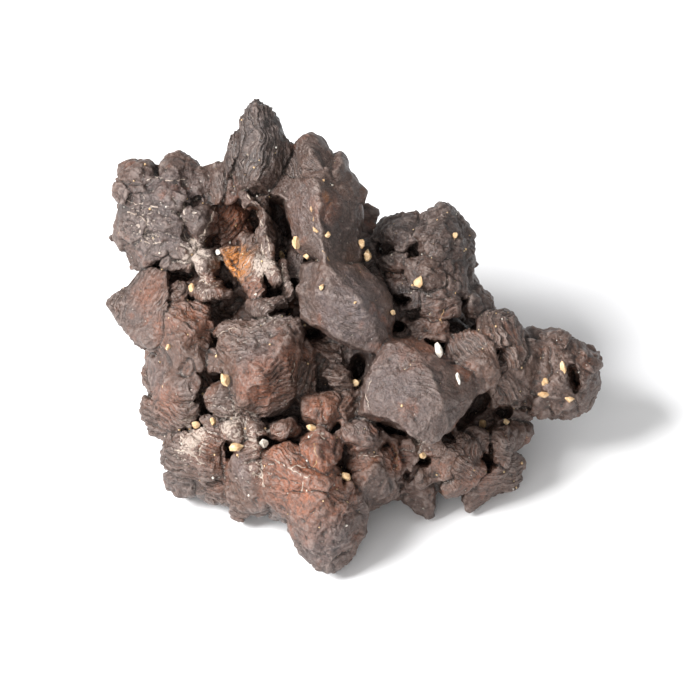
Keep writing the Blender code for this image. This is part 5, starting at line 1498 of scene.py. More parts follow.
@dataclass
class StoneSkin:
    """The fine surface of the stone, which stands in for the faceted solid.

    Args:
        cell: size of the cells that fuse the crystals, in millimetres.
        most_triangles: how many triangles a slice may have.
        fine_cell: size of the cells of the finished skin, in millimetres.
        slices: how many pieces the skin is cut into from back to front, to keep each one light.
        weathering: pairs of size and height of the noise that wears the faces, in millimetres.
        facet_sizes: width, lean and groove of broad and small facets, in millimetres.
        ledge_wander: pairs of size and reach of the noise that bends the growth steps.
        grain_scatter: how much the grain turns from one crystal to the next.
        seam_depth, seam_width: the groove where two crystals meet, in millimetres.
        warps: pairs of size and reach of the noise that bends the edges.
        rise_spread: how much lower or higher a crystal's growth steps are than its region's.
        owner_step: how far the growth steps of one crystal are shifted against the last one's.
        riser: share of a growth step that rises before it falls back.
        patchiness: size, strength and seed of the noise in which growth steps come and go.
        patch_middle, patch_most: their usual and their greatest strength.
        knob_floor: how deep the ground between knobs is, as a share.
        calm_width, calm_share: relief fades to this share where crystals meet, over this width.
        seam_wave: size and strength of the noise in which seams come and go.
        seam_middle, seam_most: their usual and their greatest strength.
        knob_size, knob_height: distance and height of the small knobs, in millimetres.
        stretch: how far past its reach a crystal is looked for, in millimetres.
        shake_size, shake_reach: the noise that keeps facets from looking regular, in millimetres.
        pit_wave, pit_size: how uneven the rim of a pit is, as a share, and the size of its waves.
        pit_floor, pit_wall: where a pit's floor ends and how wide its wall is, as shares of its size.
        near_rounds, wide_rounds: how often surroundings are averaged for small and large hollows.
        near_depth, wide_depth: the depth that counts as a full hollow, in millimetres.
        stain_edge, stain_wave: how far a stain's strength falls off, and how uneven its rim is.
        stain_size: the size of the waves in a stain's rim, in millimetres.
    """

    plane: SightPlane
    cell: float = 0.32
    fine_cell: float = 0.22
    slices: int = 4
    most_triangles: int = 190000
    weathering: tuple = ((3.0, 0.16), (1.1, 0.13), (0.5, 0.10))
    facet_sizes: tuple = ((3.2, 0.50, 0.10), (1.4, 0.28, 0.08))
    ledge_wander: tuple = ((6.0, 1.6), (2.4, 0.7), (0.9, 0.25))
    grain_scatter: float = 0.35
    seam_depth: float = 0.45
    seam_width: float = 0.28
    warps: tuple = ((5.0, 0.55), (1.8, 0.25))
    rise_spread: Range = (0.75, 1.3)
    owner_step: float = 0.37
    riser: float = 0.78
    patchiness: tuple = ((5.0, 1.5, Seed.PATCHINESS), (1.7, 0.5, Seed.FINE_PATCHINESS))
    patch_middle: float = 0.55
    patch_most: float = 1.4
    knob_floor: float = -0.3
    calm_width: float = 0.4
    calm_share: float = 0.3
    seam_wave: Range = (2.5, 1.2)
    seam_middle: float = 0.7
    seam_most: float = 1.5
    knob_size: float = 0.8
    knob_height: float = 0.1
    stretch: float = 1.5
    shake_size: float = 1.5
    shake_reach: float = 0.35
    pit_wave: float = 0.22
    pit_size: float = 1.1
    pit_floor: float = 0.65
    pit_wall: float = 0.4
    near_rounds: int = 4
    wide_rounds: int = 60
    near_depth: float = 0.07
    wide_depth: float = 0.9
    stain_edge: float = 1.25
    stain_wave: float = 0.25
    stain_size: float = 2.0
    crystals: list[Union[Block, Crystal]] = field(default_factory=list)
    regions: list[Region] = field(default_factory=list)

    def __post_init__(self) -> None:
        """Lists every crystal with its region, in the order that numbers them."""
        for region in REGIONS:
            for crystal in region.crystals:
                self.crystals.append(crystal)
                self.regions.append(region)
        for mass, directions, size, facing in COATED:
            for crystal in [mass.far_half(), *coat(mass, directions, size, facing)]:
                self.crystals.append(crystal)
                self.regions.append(COAT_REGION)

    def fused(self) -> bpy.types.Object:
        """Fuses all crystals into one closed skin.

        Returns:
            The skin, in metres over the table.
        """
        shape = bmesh.new()
        for number, crystal in enumerate(self.crystals):
            crystal.add_to(shape, number)
        bmesh.ops.triangulate(shape, faces=shape.faces)
        mesh = bpy.data.meshes.new("crystals")
        shape.to_mesh(mesh)
        shape.free()
        places = read_points(mesh)
        mesh.vertices.foreach_set("co", self.plane.to_table(places).astype(np.float32).ravel())
        loose = bpy.data.objects.new("crystals", mesh)
        bpy.context.scene.collection.objects.link(loose)
        return self.remeshed(loose, self.cell)

    def remeshed(self, skin: bpy.types.Object, cell: float) -> bpy.types.Object:
        """The outer skin of an object, in cells of one size, in millimetres."""
        fuse = skin.modifiers.new("grown together", "REMESH")
        fuse.mode = "VOXEL"
        fuse.voxel_size = cell * MM
        made = settled(skin, "stone_skin")
        drop_inner_shells(made.data)
        return made

    def sink_pits(self, skin: bpy.types.Object) -> None:
        """Pushes the skin back where dark holes are seen.

        Args:
            skin: the fused skin.
        """
        points = self.plane.to_layout(read_points(skin.data))
        for pit in PITS:
            lean = math.radians(pit.lean)
            x, y = points[:, 0] - pit.across, points[:, 1] - pit.up
            x, y = x * math.cos(lean) + y * math.sin(lean), y * math.cos(lean) - x * math.sin(lean)
            reach = np.hypot(x / (pit.wide / 2), y / (pit.tall / 2))
            reach += self.pit_wave * waves(points * DRAWN_OUT, self.pit_size, Seed.PIT)
            wall = np.clip((reach - self.pit_floor) / self.pit_wall, 0, 1)
            over = np.maximum(points[:, 2] - pit.floor, 0)
            points[:, 2] -= over * (1 - wall * wall * (3 - 2 * wall))
        skin.data.vertices.foreach_set("co", self.plane.to_table(points).astype(np.float32).ravel())
        skin.data.update()

    def owners(self, points: np.ndarray) -> tuple[np.ndarray, np.ndarray]:
        """Which crystal each point of the skin belongs to.

        Args:
            points: places in the layout, one a row.

        Returns:
            The crystal's number for each point, and how far the next crystal is.
        """
        best = np.full(len(points), FAR)
        second = np.full(len(points), FAR)
        owner = np.zeros(len(points), int)
        for number, crystal in enumerate(self.crystals):
            reach = crystal.reach() + self.stretch
            near = np.nonzero(((points - np.array(crystal.middle())) ** 2).sum(axis=1) < reach * reach)[0]
            if not len(near):
                continue
            beyond = crystal.beyond(points[near])
            closer = beyond < best[near]
            second[near] = np.where(closer, best[near], np.minimum(second[near], beyond))
            best[near[closer]] = beyond[closer]
            owner[near[closer]] = number
        return owner, second - best

    def growth(self, points: np.ndarray, owner: np.ndarray) -> np.ndarray:
        """How far each point is along its crystal's growth.

        Args:
            points: places in the layout.
            owner: the crystal of each point.

        Returns:
            The number of steps of growth at each point.
        """
        chance = np.random.default_rng(int(Seed.GROWTH))
        grains = np.array([tuple(r.grain or c.axis()) for c, r in zip(self.crystals, self.regions)])
        grains = grains + chance.uniform(-self.grain_scatter, self.grain_scatter, grains.shape)
        grains /= np.linalg.norm(grains, axis=1)[:, None]
        rise = np.array([r.rise for r in self.regions]) * chance.uniform(*self.rise_spread, len(grains))
        along = (points * grains[owner]).sum(axis=1)
        for number, (size, reach) in enumerate(self.ledge_wander):
            along = along + waves(points, size, Seed.WANDER + number) * reach
        return along / rise[owner] + owner * self.owner_step

    def carve(self, skin: bpy.types.Object) -> None:
        """Raises growth steps, facets, knobs and weathering, cuts the seams and flattens the feet.

        Args:
            skin: the fused skin.
        """
        mesh = skin.data
        places, normals = read_points(mesh), read_normals(mesh)
        points = self.plane.to_layout(places)
        owner, gap = self.owners(points)
        steps = self.growth(points, owner)
        reliefs = [r.surface.value for r in self.regions]
        shares = np.array([(r.growth, r.facets, r.bumps, r.wear, r.seams) for r in reliefs])[owner]
        depth = np.array([r.depth for r in self.regions])[owner]
        patchy = np.full(len(points), self.patch_middle)
        for size, strength, seed in self.patchiness:
            patchy += strength * waves(points, size, seed)
        patchy = np.clip(patchy, 0.0, self.patch_most)
        part = steps - np.floor(steps)
        ledge = np.where(part < self.riser, part / self.riser, (1 - part) / (1 - self.riser)) - 0.5
        lift = ledge * depth * patchy * shares[:, 0]
        for number, (size, height, groove) in enumerate(self.facet_sizes):
            lean, crease = facets(points + self.shake(points), size, Seed.FACET + 20 * number)
            lift += (lean * height - crease * groove) * shares[:, 1]
        knobs = np.maximum(pebbles(points, self.knob_size, Seed.KNOB), self.knob_floor)
        lift += knobs * self.knob_height * shares[:, 2]
        for number, (size, height) in enumerate(self.weathering):
            lift += waves(points, size, Seed.WEAR + number) * height * shares[:, 3]
        lift *= np.clip(gap / self.calm_width, self.calm_share, 1.0)
        seam = np.exp(-((gap / self.seam_width) ** 2))
        size, strength = self.seam_wave
        seam = seam * np.clip(self.seam_middle + strength * waves(points, size, Seed.SEAM), 0, self.seam_most)
        lift -= self.seam_depth * seam * shares[:, 4]
        give(mesh, "growth", steps)
        give(mesh, "lines", patchy * shares[:, 0])
        give(mesh, "seam", np.clip(seam * shares[:, 4], 0, 1))
        points = points + self.warp(points)
        places = self.plane.to_table(points) + normals * lift[:, None] * MM
        places[:, 2] = np.maximum(places[:, 2], 0.0)
        mesh.vertices.foreach_set("co", places.astype(np.float32).ravel())
        mesh.update()

    def shake(self, points: np.ndarray) -> np.ndarray:
        """A small uneven shift that keeps facets from looking regular."""
        shifts = [waves(points, self.shake_size, Seed.SHAKE + i) for i in range(3)]
        return np.stack(shifts, axis=1) * self.shake_reach

    def warp(self, points: np.ndarray) -> np.ndarray:
        """An uneven shift that bends straight edges, in millimetres."""
        total = np.zeros_like(points)
        for number, (size, reach) in enumerate(self.warps):
            shifts = [waves(points, size, Seed.WARP + 3 * number + i) for i in range(3)]
            total += np.stack(shifts, axis=1) * reach
        return total

    def thin(self, skin: bpy.types.Object) -> bpy.types.Object:
        """Fewer triangles where the skin is flat.

        Args:
            skin: the carved skin.

        Returns:
            The skin with at most the triangles that are kept.
        """
        triangles = sum(len(face.vertices) - 2 for face in skin.data.polygons)
        fewer = skin.modifiers.new("fewer", "DECIMATE")
        fewer.ratio = min(1.0, self.slices * self.most_triangles / triangles)
        fewer.use_collapse_triangulate = True
        LOG.info("stone skin: %d triangles before thinning", triangles)
        return settled(skin, "stone_skin")

    def paint(self, skin: bpy.types.Object) -> None:
        """Writes the point attributes that the material reads.

        Args:
            skin: the final skin.
        """
        mesh = skin.data
        places, normals = read_points(mesh), read_normals(mesh)
        points = self.plane.to_layout(places)
        edges = read_edges(mesh)
        near = sunk(places, normals, edges, self.near_rounds) / (self.near_depth * MM)
        wide = sunk(places, normals, edges, self.wide_rounds) / (self.wide_depth * MM)
        # cavity feeds painted shade, worn edges and dust; hollow feeds only the painted shade.
        give(mesh, "cavity", np.clip(near, -1, 1))
        give(mesh, "hollow", np.clip(wide, 0, 1))
        for stain in Stain:
            total = np.zeros(len(points))
            for patch in PATCHES:
                if patch.stain is stain:
                    away = np.sqrt(((points - np.array(patch.place)) ** 2).sum(axis=1)) / patch.radius
                    away += self.stain_wave * waves(points, self.stain_size, Seed.STAIN)
                    total = np.maximum(total, patch.strength * np.clip(self.stain_edge - away, 0, 1))
            give(mesh, stain.value, total)

    def cut(self, skin: bpy.types.Object, material: bpy.types.Material) -> None:
        """Cuts the skin into slices of equal weight, from back to front, and puts them in the solid's place.

        Args:
            skin: the finished skin, which is kept until the grains have been laid on it.
            material: the stone's material.
        """
        mesh = skin.data
        places, normals = read_points(mesh), read_normals(mesh)
        corners = np.empty(len(mesh.loops), np.int32)
        mesh.loops.foreach_get("vertex_index", corners)
        triangles = corners.reshape(-1, 3)
        out = self.plane.to_layout(places)[:, 2][triangles].mean(axis=1)
        order = np.argsort(out)
        for number, chosen in enumerate(np.array_split(order, self.slices)):
            used, inside = np.unique(triangles[chosen], return_inverse=True)
            inside = inside.reshape(-1, 3)
            name = f"stone_skin_{number + 1}"
            piece = bpy.data.meshes.new(name)
            piece.vertices.add(len(used))
            piece.vertices.foreach_set("co", places[used].astype(np.float32).ravel())
            piece.loops.add(len(inside) * 3)
            piece.loops.foreach_set("vertex_index", inside.astype(np.int32).ravel())
            piece.polygons.add(len(inside))
            piece.polygons.foreach_set("loop_start", np.arange(0, len(inside) * 3, 3, dtype=np.int32))
            piece.update(calc_edges=True)
            for attribute in ATTRIBUTES:
                values = np.empty(len(places), np.float32)
                mesh.attributes[attribute].data.foreach_get("value", values)
                give(piece, attribute, values[used])
            piece.shade_smooth()
            piece.normals_split_custom_set_from_vertices(normals[used])
            piece.materials.append(material)
            made = bpy.data.objects.new(name, piece)
            bpy.context.scene.collection.objects.link(made)
            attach(made, BODY)
            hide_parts(STONE_NODE)
            LOG.info("%s: %d triangles", name, len(inside))

    def build(self) -> bpy.types.Object:
        """Makes the whole skin.

        Returns:
            The skin, in one piece.
        """
        skin = self.fused()
        self.sink_pits(skin)
        skin = self.remeshed(skin, self.fine_cell)
        self.carve(skin)
        skin = self.thin(skin)
        self.paint(skin)
        return skin


ATTRIBUTES = ["growth", "lines", "seam", "cavity", "hollow", *(stain.value for stain in Stain)]


def read_points(mesh: bpy.types.Mesh) -> np.ndarray:
    """The places of a mesh's points, one a row."""
    found = np.empty(len(mesh.vertices) * 3, np.float32)
    mesh.vertices.foreach_get("co", found)
    return found.reshape(-1, 3).astype(float)


def read_normals(mesh: bpy.types.Mesh) -> np.ndarray:
    """The normals of a mesh's points, one a row."""
    found = np.empty(len(mesh.vertices) * 3, np.float32)
    mesh.vertex_normals.foreach_get("vector", found)
    return found.reshape(-1, 3).astype(float)


def read_edges(mesh: bpy.types.Mesh) -> np.ndarray:
    """The two points of each edge, one edge a row."""
    found = np.empty(len(mesh.edges) * 2, np.int32)
    mesh.edges.foreach_get("vertices", found)
    return found.reshape(-1, 2)


def sunk(places: np.ndarray, normals: np.ndarray, edges: np.ndarray, rounds: int) -> np.ndarray:
    """How far each point lies below its surroundings.

    Args:
        places: the points.
        normals: their normals.
        edges: the two points of each edge.
        rounds: how often the surroundings are averaged; more rounds look further round.

    Returns:
        One depth a point, in the unit of the places, negative on ridges.
    """
    count = len(places)
    first, second = edges[:, 0], edges[:, 1]
    linked = np.bincount(first, minlength=count) + np.bincount(second, minlength=count)
    even = places.copy()
    for _ in range(rounds):
        total = np.empty_like(even)
        for i in range(3):
            total[:, i] = np.bincount(first, even[second, i], count)
            total[:, i] += np.bincount(second, even[first, i], count)
        even = 0.5 * even + 0.5 * total / np.maximum(linked, 1)[:, None]
    return ((even - places) * normals).sum(axis=1)


def give(mesh: bpy.types.Mesh, name: str, values: np.ndarray) -> None:
    """Writes one number a point as an attribute."""
    mesh.attributes.new(name, "FLOAT", "POINT").data.foreach_set("value", values.astype(np.float32))


def settled(obj: bpy.types.Object, name: str) -> bpy.types.Object:
    """A new object with the modifiers of the old one applied; the old one is removed."""
    evaluated = obj.evaluated_get(bpy.context.evaluated_depsgraph_get())
    mesh = bpy.data.meshes.new_from_object(evaluated)
    bpy.data.objects.remove(obj)
    mesh.name = name
    made = bpy.data.objects.new(name, mesh)
    bpy.context.scene.collection.objects.link(made)
    return made


def drop_inner_shells(mesh: bpy.types.Mesh) -> None:
    """Deletes every loose part of a mesh but the largest.

    Args:
        mesh: the mesh, which changes.
    """
    edges = read_edges(mesh)
    label = np.arange(len(mesh.vertices))
    while True:
        low = np.minimum(label[edges[:, 0]], label[edges[:, 1]])
        new = label.copy()
        np.minimum.at(new, edges[:, 0], low)
        np.minimum.at(new, edges[:, 1], low)
        new = new[new]
        if np.array_equal(new, label):
            break
        label = new
    largest = np.bincount(label).argmax()
    if (label == largest).all():
        return
    shape = bmesh.new()
    shape.from_mesh(mesh)
    shape.verts.ensure_lookup_table()
    inner = [shape.verts[i] for i in np.nonzero(label != largest)[0]]
    bmesh.ops.delete(shape, geom=inner, context="VERTS")
    shape.to_mesh(mesh)
    shape.free()


class Grit(Enum):
    """The two kinds of lodged sand."""

    TAN = "tan"
    WHITE = "white"


@dataclass(frozen=True)
class Grain:
    """One coarse sand grain that the front shows.

    Args:
        across, up: where it is seen, in millimetres from the middle of the picture.
        wide, tall: its size, in millimetres.
        lean: turn in the picture, in degrees.
        grit: its kind.
    """

    across: float
    up: float
    wide: float
    tall: float
    lean: float = 0.0
    grit: Grit = Grit.TAN


GRAINS = [
    Grain(10.0, 9.9, 1.4, 2.1, -15),
    Grain(12.6, -0.1, 1.2, 2.4, 15, Grit.WHITE),
    Grain(15.4, -4.0, 0.7, 2.2, 5, Grit.WHITE),
    Grain(18.9, -10.6, 1.2, 1.5, 0),
    Grain(22.4, -10.3, 1.0, 1.1, 20),
    Grain(10.4, -15.1, 1.0, 1.1, 0),
    Grain(-0.6, -18.0, 1.5, 1.5, 30),
    Grain(-17.9, -4.3, 1.5, 2.6, 10),
    Grain(-22.6, 8.9, 1.0, 1.3, 0),
    Grain(-7.7, 15.3, 1.2, 2.0, 0),
    Grain(-9.7, 13.6, 0.9, 1.4, 0),
    Grain(-6.3, 13.4, 1.0, 1.0, 0),
    Grain(2.4, 13.6, 1.4, 1.8, 0),
    Grain(-18.7, 14.0, 1.0, 1.1, 0, Grit.WHITE),
    Grain(-12.4, -13.3, 1.4, 1.4, 0, Grit.WHITE),
    Grain(-16.1, -13.9, 2.2, 1.6, 10),
    Grain(-22.1, -10.7, 1.4, 1.0, 0),
    Grain(-19.6, -10.3, 1.0, 1.2, 0),
    Grain(-5.6, -11.0, 1.5, 1.0, -20),
    Grain(0.7, -4.6, 1.3, 1.2, 0),
    Grain(30.4, -2.6, 0.9, 2.0, 10),
    Grain(27.9, -4.7, 1.0, 1.2, 0),
    Grain(27.6, -6.4, 1.6, 0.9, 0),
    Grain(31.4, -6.9, 1.5, 1.0, 0),
    Grain(15.0, 16.4, 0.8, 1.0, 0),
    Grain(6.1, 5.3, 0.8, 0.9, 0),
    Grain(-26.0, 0.4, 0.8, 0.9, 0),
    Grain(-3.2, 16.5, 0.8, 0.9, 0),
    Grain(1.6, 15.2, 1.0, 1.5, 0),
    Grain(-4.0, 9.0, 0.8, 1.0, 0),
]


@dataclass
class LodgedSand:
    """Sand grains held between the crystals, one joined mesh for each kind.

    Args:
        plane: the sight plane.
        skin: the stone's skin.
        scattered: how many small grains lie in the crevices all round.
        sunk_share: how far a grain is pushed in, as a share of its size.
        rim_share: how far from its middle a gap grips a grain, as a share of its size.
        rim_places: how many places of the rim are tried.
        grips: how many of them hold a grain.
        cuts: how many flats a grain has.
        cut_reach: how far from its middle a flat lies, as a share of its size.
        unevenness: how uneven a grain is, as a share of its size.
        thickness: a grain's third measure, as a share of the smaller of the two that are seen.
        deep_share: a gap holds a grain where it is deeper than this share of the grain's rim.
        ball_steps: how finely the balls are divided that become the placed and the scattered grains.
        small_sizes: the least size of a scattered grain, and how much larger it may be, in millimetres.
        small_stretch: how long a scattered grain is, against its width.
        tan_share: how many of the scattered grains are tan.
        crevice: how deep in a cavity a scattered grain lies, from 0 to 1.
        steepest: how far down a face may look that holds a scattered grain.
    """

    plane: SightPlane
    skin: bpy.types.Object
    scattered: int = 900
    sunk_share: float = 0.30
    rim_share: float = 0.6
    rim_places: int = 8
    grips: int = 3
    cuts: int = 9
    cut_reach: Range = (0.24, 0.42)
    unevenness: float = 0.12
    thickness: float = 0.9
    deep_share: float = 0.5
    ball_steps: tuple[int, int] = (3, 1)
    small_sizes: Range = (0.12, 0.4)
    small_stretch: Range = (0.7, 1.3)
    tan_share: float = 0.65
    crevice: float = 0.55
    steepest: float = -0.2

    def pebble(self, shape: bmesh.types.BMesh, place: Vector, normal: Vector, size: Sequence[float],
               lean: float, seed: int, fine: int) -> None:
        """Adds one worn, angular grain.

        Args:
            shape: the mesh that gets it.
            place: the point that it lies on.
            normal: the surface's normal there.
            size: width, height and thickness, in metres.
            lean: turn in the picture, in radians.
            seed: settles its form.
            fine: subdivisions of its ball.
        """
        chance = random.Random(seed)
        ball = bmesh.ops.create_icosphere(shape, subdivisions=fine, radius=0.5)["verts"]
        cuts = [(Vector([chance.uniform(-1, 1) for _ in range(3)]).normalized(),
                 chance.uniform(*self.cut_reach)) for _ in range(self.cuts)]
        turn = Matrix(self.plane.turn().tolist()) @ Matrix.Rotation(lean, 3, "Z")
        middle = place + normal * min(size) * (0.5 - self.sunk_share)
        for vert in ball:
            for way, reach in cuts:
                over = vert.co.dot(way) - reach
                if over > 0:
                    vert.co -= way * over
            vert.co *= 1 + self.unevenness * noise.noise(vert.co * 5.0 + Vector((seed, 0, 0)))
            vert.co = vert.co * Vector(size)
            vert.co = middle + turn @ vert.co

    def lodged(self, surface: BVHTree, eye: Vector, grain: Grain) -> tuple[Optional[Vector], Vector]:
        """Finds where a grain is held: on the face that it is seen against, or where a gap grips its rim.

        Args:
            surface: the stone's skin.
            eye: where the stone is looked at from.
            grain: the grain.

        Returns:
            The place, or None where the grain would miss the stone, and the direction out of the stone.
        """
        way = (self.plane.seen_at(grain.across, grain.up) - eye).normalized()
        place, normal, _, reach = surface.ray_cast(eye, way)
        if place is None:
            return None, -way
        rim = self.rim_share * max(grain.wide, grain.tall)
        grips = []
        for step in range(self.rim_places):
            turn = math.radians(360 * step / self.rim_places)
            aside = self.plane.seen_at(grain.across + rim * math.cos(turn), grain.up + rim * math.sin(turn))
            hit = surface.ray_cast(eye, (aside - eye).normalized())
            grips.append(reach if hit[0] is None else hit[3])
        grip = sorted(grips)[self.grips - 1]
        if grip > reach - self.deep_share * rim * MM:
            return place, normal
        return eye + way * grip, -way

    def build(self, finishes: dict[Grit, bpy.types.Material]) -> None:
        """Makes the grains, one object a kind.

        Args:
            finishes: the material of each kind.
        """
        surface = BVHTree.FromObject(self.skin, bpy.context.evaluated_depsgraph_get())
        eye = self.plane.eye()
        shapes = {grit: bmesh.new() for grit in Grit}
        for number, grain in enumerate(GRAINS):
            place, normal = self.lodged(surface, eye, grain)
            if place is None:
                LOG.warning("grain %d misses the stone", number)
                continue
            size = (grain.wide * MM, grain.tall * MM, min(grain.wide, grain.tall) * self.thickness * MM)
            lean = math.radians(grain.lean)
            self.pebble(shapes[grain.grit], place, normal, size, lean, number, self.ball_steps[0])
        self.scatter(shapes)
        for grit, shape in shapes.items():
            grown_on(f"sand_grains_{grit.value}", shape, finishes[grit])

    def scatter(self, shapes: dict[Grit, bmesh.types.BMesh]) -> None:
        """Adds small grains in the crevices all round.

        Args:
            shapes: the mesh of each kind.
        """
        mesh = self.skin.data
        values = np.empty(len(mesh.vertices), np.float32)
        mesh.attributes["cavity"].data.foreach_get("value", values)
        places, normals = read_points(mesh), read_normals(mesh)
        wanted = np.nonzero((values > self.crevice) & (normals[:, 2] > self.steepest))[0]
        chance = random.Random(int(Seed.SCATTER))
        for number in range(self.scattered):
            point = int(wanted[chance.randrange(len(wanted))])
            size = (self.small_sizes[0] + self.small_sizes[1] * chance.random() ** 3) * MM
            sizes = (size, size * chance.uniform(*self.small_stretch), size)
            grit = Grit.TAN if chance.random() < self.tan_share else Grit.WHITE
            self.pebble(shapes[grit], Vector(places[point]), Vector(normals[point]), sizes,
                        chance.uniform(0, math.pi), Seed.PEBBLE + number, self.ball_steps[1])


@dataclass(frozen=True)
class Vein:
    """A thin pale crust that runs over the stone.

    Args:
        course: where it is seen, right of and above the middle of the picture, in millimetres.
        wide: its width, in millimetres.
        grit: its kind.
    """

    course: tuple[tuple[float, float], ...]
    wide: float
    grit: Grit = Grit.WHITE


VEINS = [
    Vein(((-10.8, -15.7), (-9.6, -16.4), (-8.6, -17.0), (-7.4, -17.4), (-6.6, -18.4), (-6.8, -20.2)), 0.30),
    Vein(((-8.6, -17.0), (-7.4, -16.6), (-6.2, -17.0)), 0.20),
    Vein(((-7.4, -17.4), (-6.2, -18.2), (-5.6, -17.6)), 0.18),
    Vein(((-14.0, -15.4), (-12.9, -16.2), (-12.6, -17.6), (-12.2, -19.6)), 0.42),
    Vein(((-13.9, -17.6), (-12.9, -18.2), (-12.4, -18.0)), 0.55),
    Vein(((-14.6, -13.8), (-13.2, -14.3), (-12.0, -14.0)), 0.35),
    Vein(((-5.7, 20.6), (-5.4, 19.0), (-5.1, 17.6), (-4.7, 16.6)), 0.40, Grit.TAN),
    Vein(((-4.0, 14.4), (-3.2, 13.2), (-2.8, 12.2)), 0.30, Grit.TAN),
    Vein(((-7.4, -10.4), (-6.0, -11.4), (-4.4, -11.9), (-3.6, -12.8)), 0.22),
    Vein(((-5.2, -13.2), (-4.8, -15.4), (-5.4, -17.0)), 0.16, Grit.TAN),
    Vein(((-31.8, 19.7), (-30.0, 19.2), (-28.6, 18.0)), 0.20),
    Vein(((-32.6, 21.4), (-31.0, 21.0), (-29.6, 20.8), (-27.0, 20.4)), 0.18),
    Vein(((-29.0, 24.4), (-27.2, 24.6), (-25.4, 24.2), (-23.4, 24.2)), 0.16),
    Vein(((-23.9, 21.6), (-23.6, 19.4), (-24.0, 17.0), (-23.4, 15.4)), 0.22),
    Vein(((-19.3, 20.6), (-19.9, 18.6), (-20.7, 16.8), (-21.6, 15.4)), 0.22),
    Vein(((-29.4, 15.4), (-27.6, 15.2), (-26.0, 15.4)), 0.20),
    Vein(((-15.1, 23.0), (-13.8, 20.6), (-12.4, 17.6), (-11.3, 13.8)), 0.26),
    Vein(((-9.9, 13.4), (-9.5, 10.8), (-9.6, 8.6)), 0.30),
    Vein(((-12.6, 15.4), (-12.4, 12.6), (-12.6, 9.6)), 0.24),
    Vein(((-24.4, -12.0), (-23.0, -13.4), (-22.0, -15.6), (-20.4, -16.6)), 0.30),
    Vein(((-25.2, -14.4), (-22.9, -14.2), (-21.4, -12.8)), 0.24),
    Vein(((-21.8, -11.8), (-21.2, -13.4), (-21.4, -15.2)), 0.22),
    Vein(((2.9, -4.2), (2.3, -6.4), (2.6, -8.6)), 0.16),
    Vein(((-19.4, 1.6), (-18.0, 2.6), (-16.4, 3.2), (-14.0, 3.2)), 0.18),
    Vein(((-8.4, -5.0), (-8.0, -2.6), (-8.2, -0.4)), 0.14),
    Vein(((0.6, -15.4), (2.4, -15.0), (4.6, -15.0)), 0.20),
    Vein(((-18.0, -10.9), (-16.4, -10.6), (-15.2, -11.4)), 0.30),
    Vein(((13.4, 5.6), (13.0, 4.4), (13.4, 3.2)), 0.26, Grit.TAN),
    Vein(((6.2, -13.6), (6.8, -15.4), (6.6, -17.2)), 0.18, Grit.TAN),
]


# Each vein reads the noise at its own height, and its width is read aside from its bends.
VEIN_STEP = 3.1
SWELL_SHIFT = Vector((9, 0, 0))


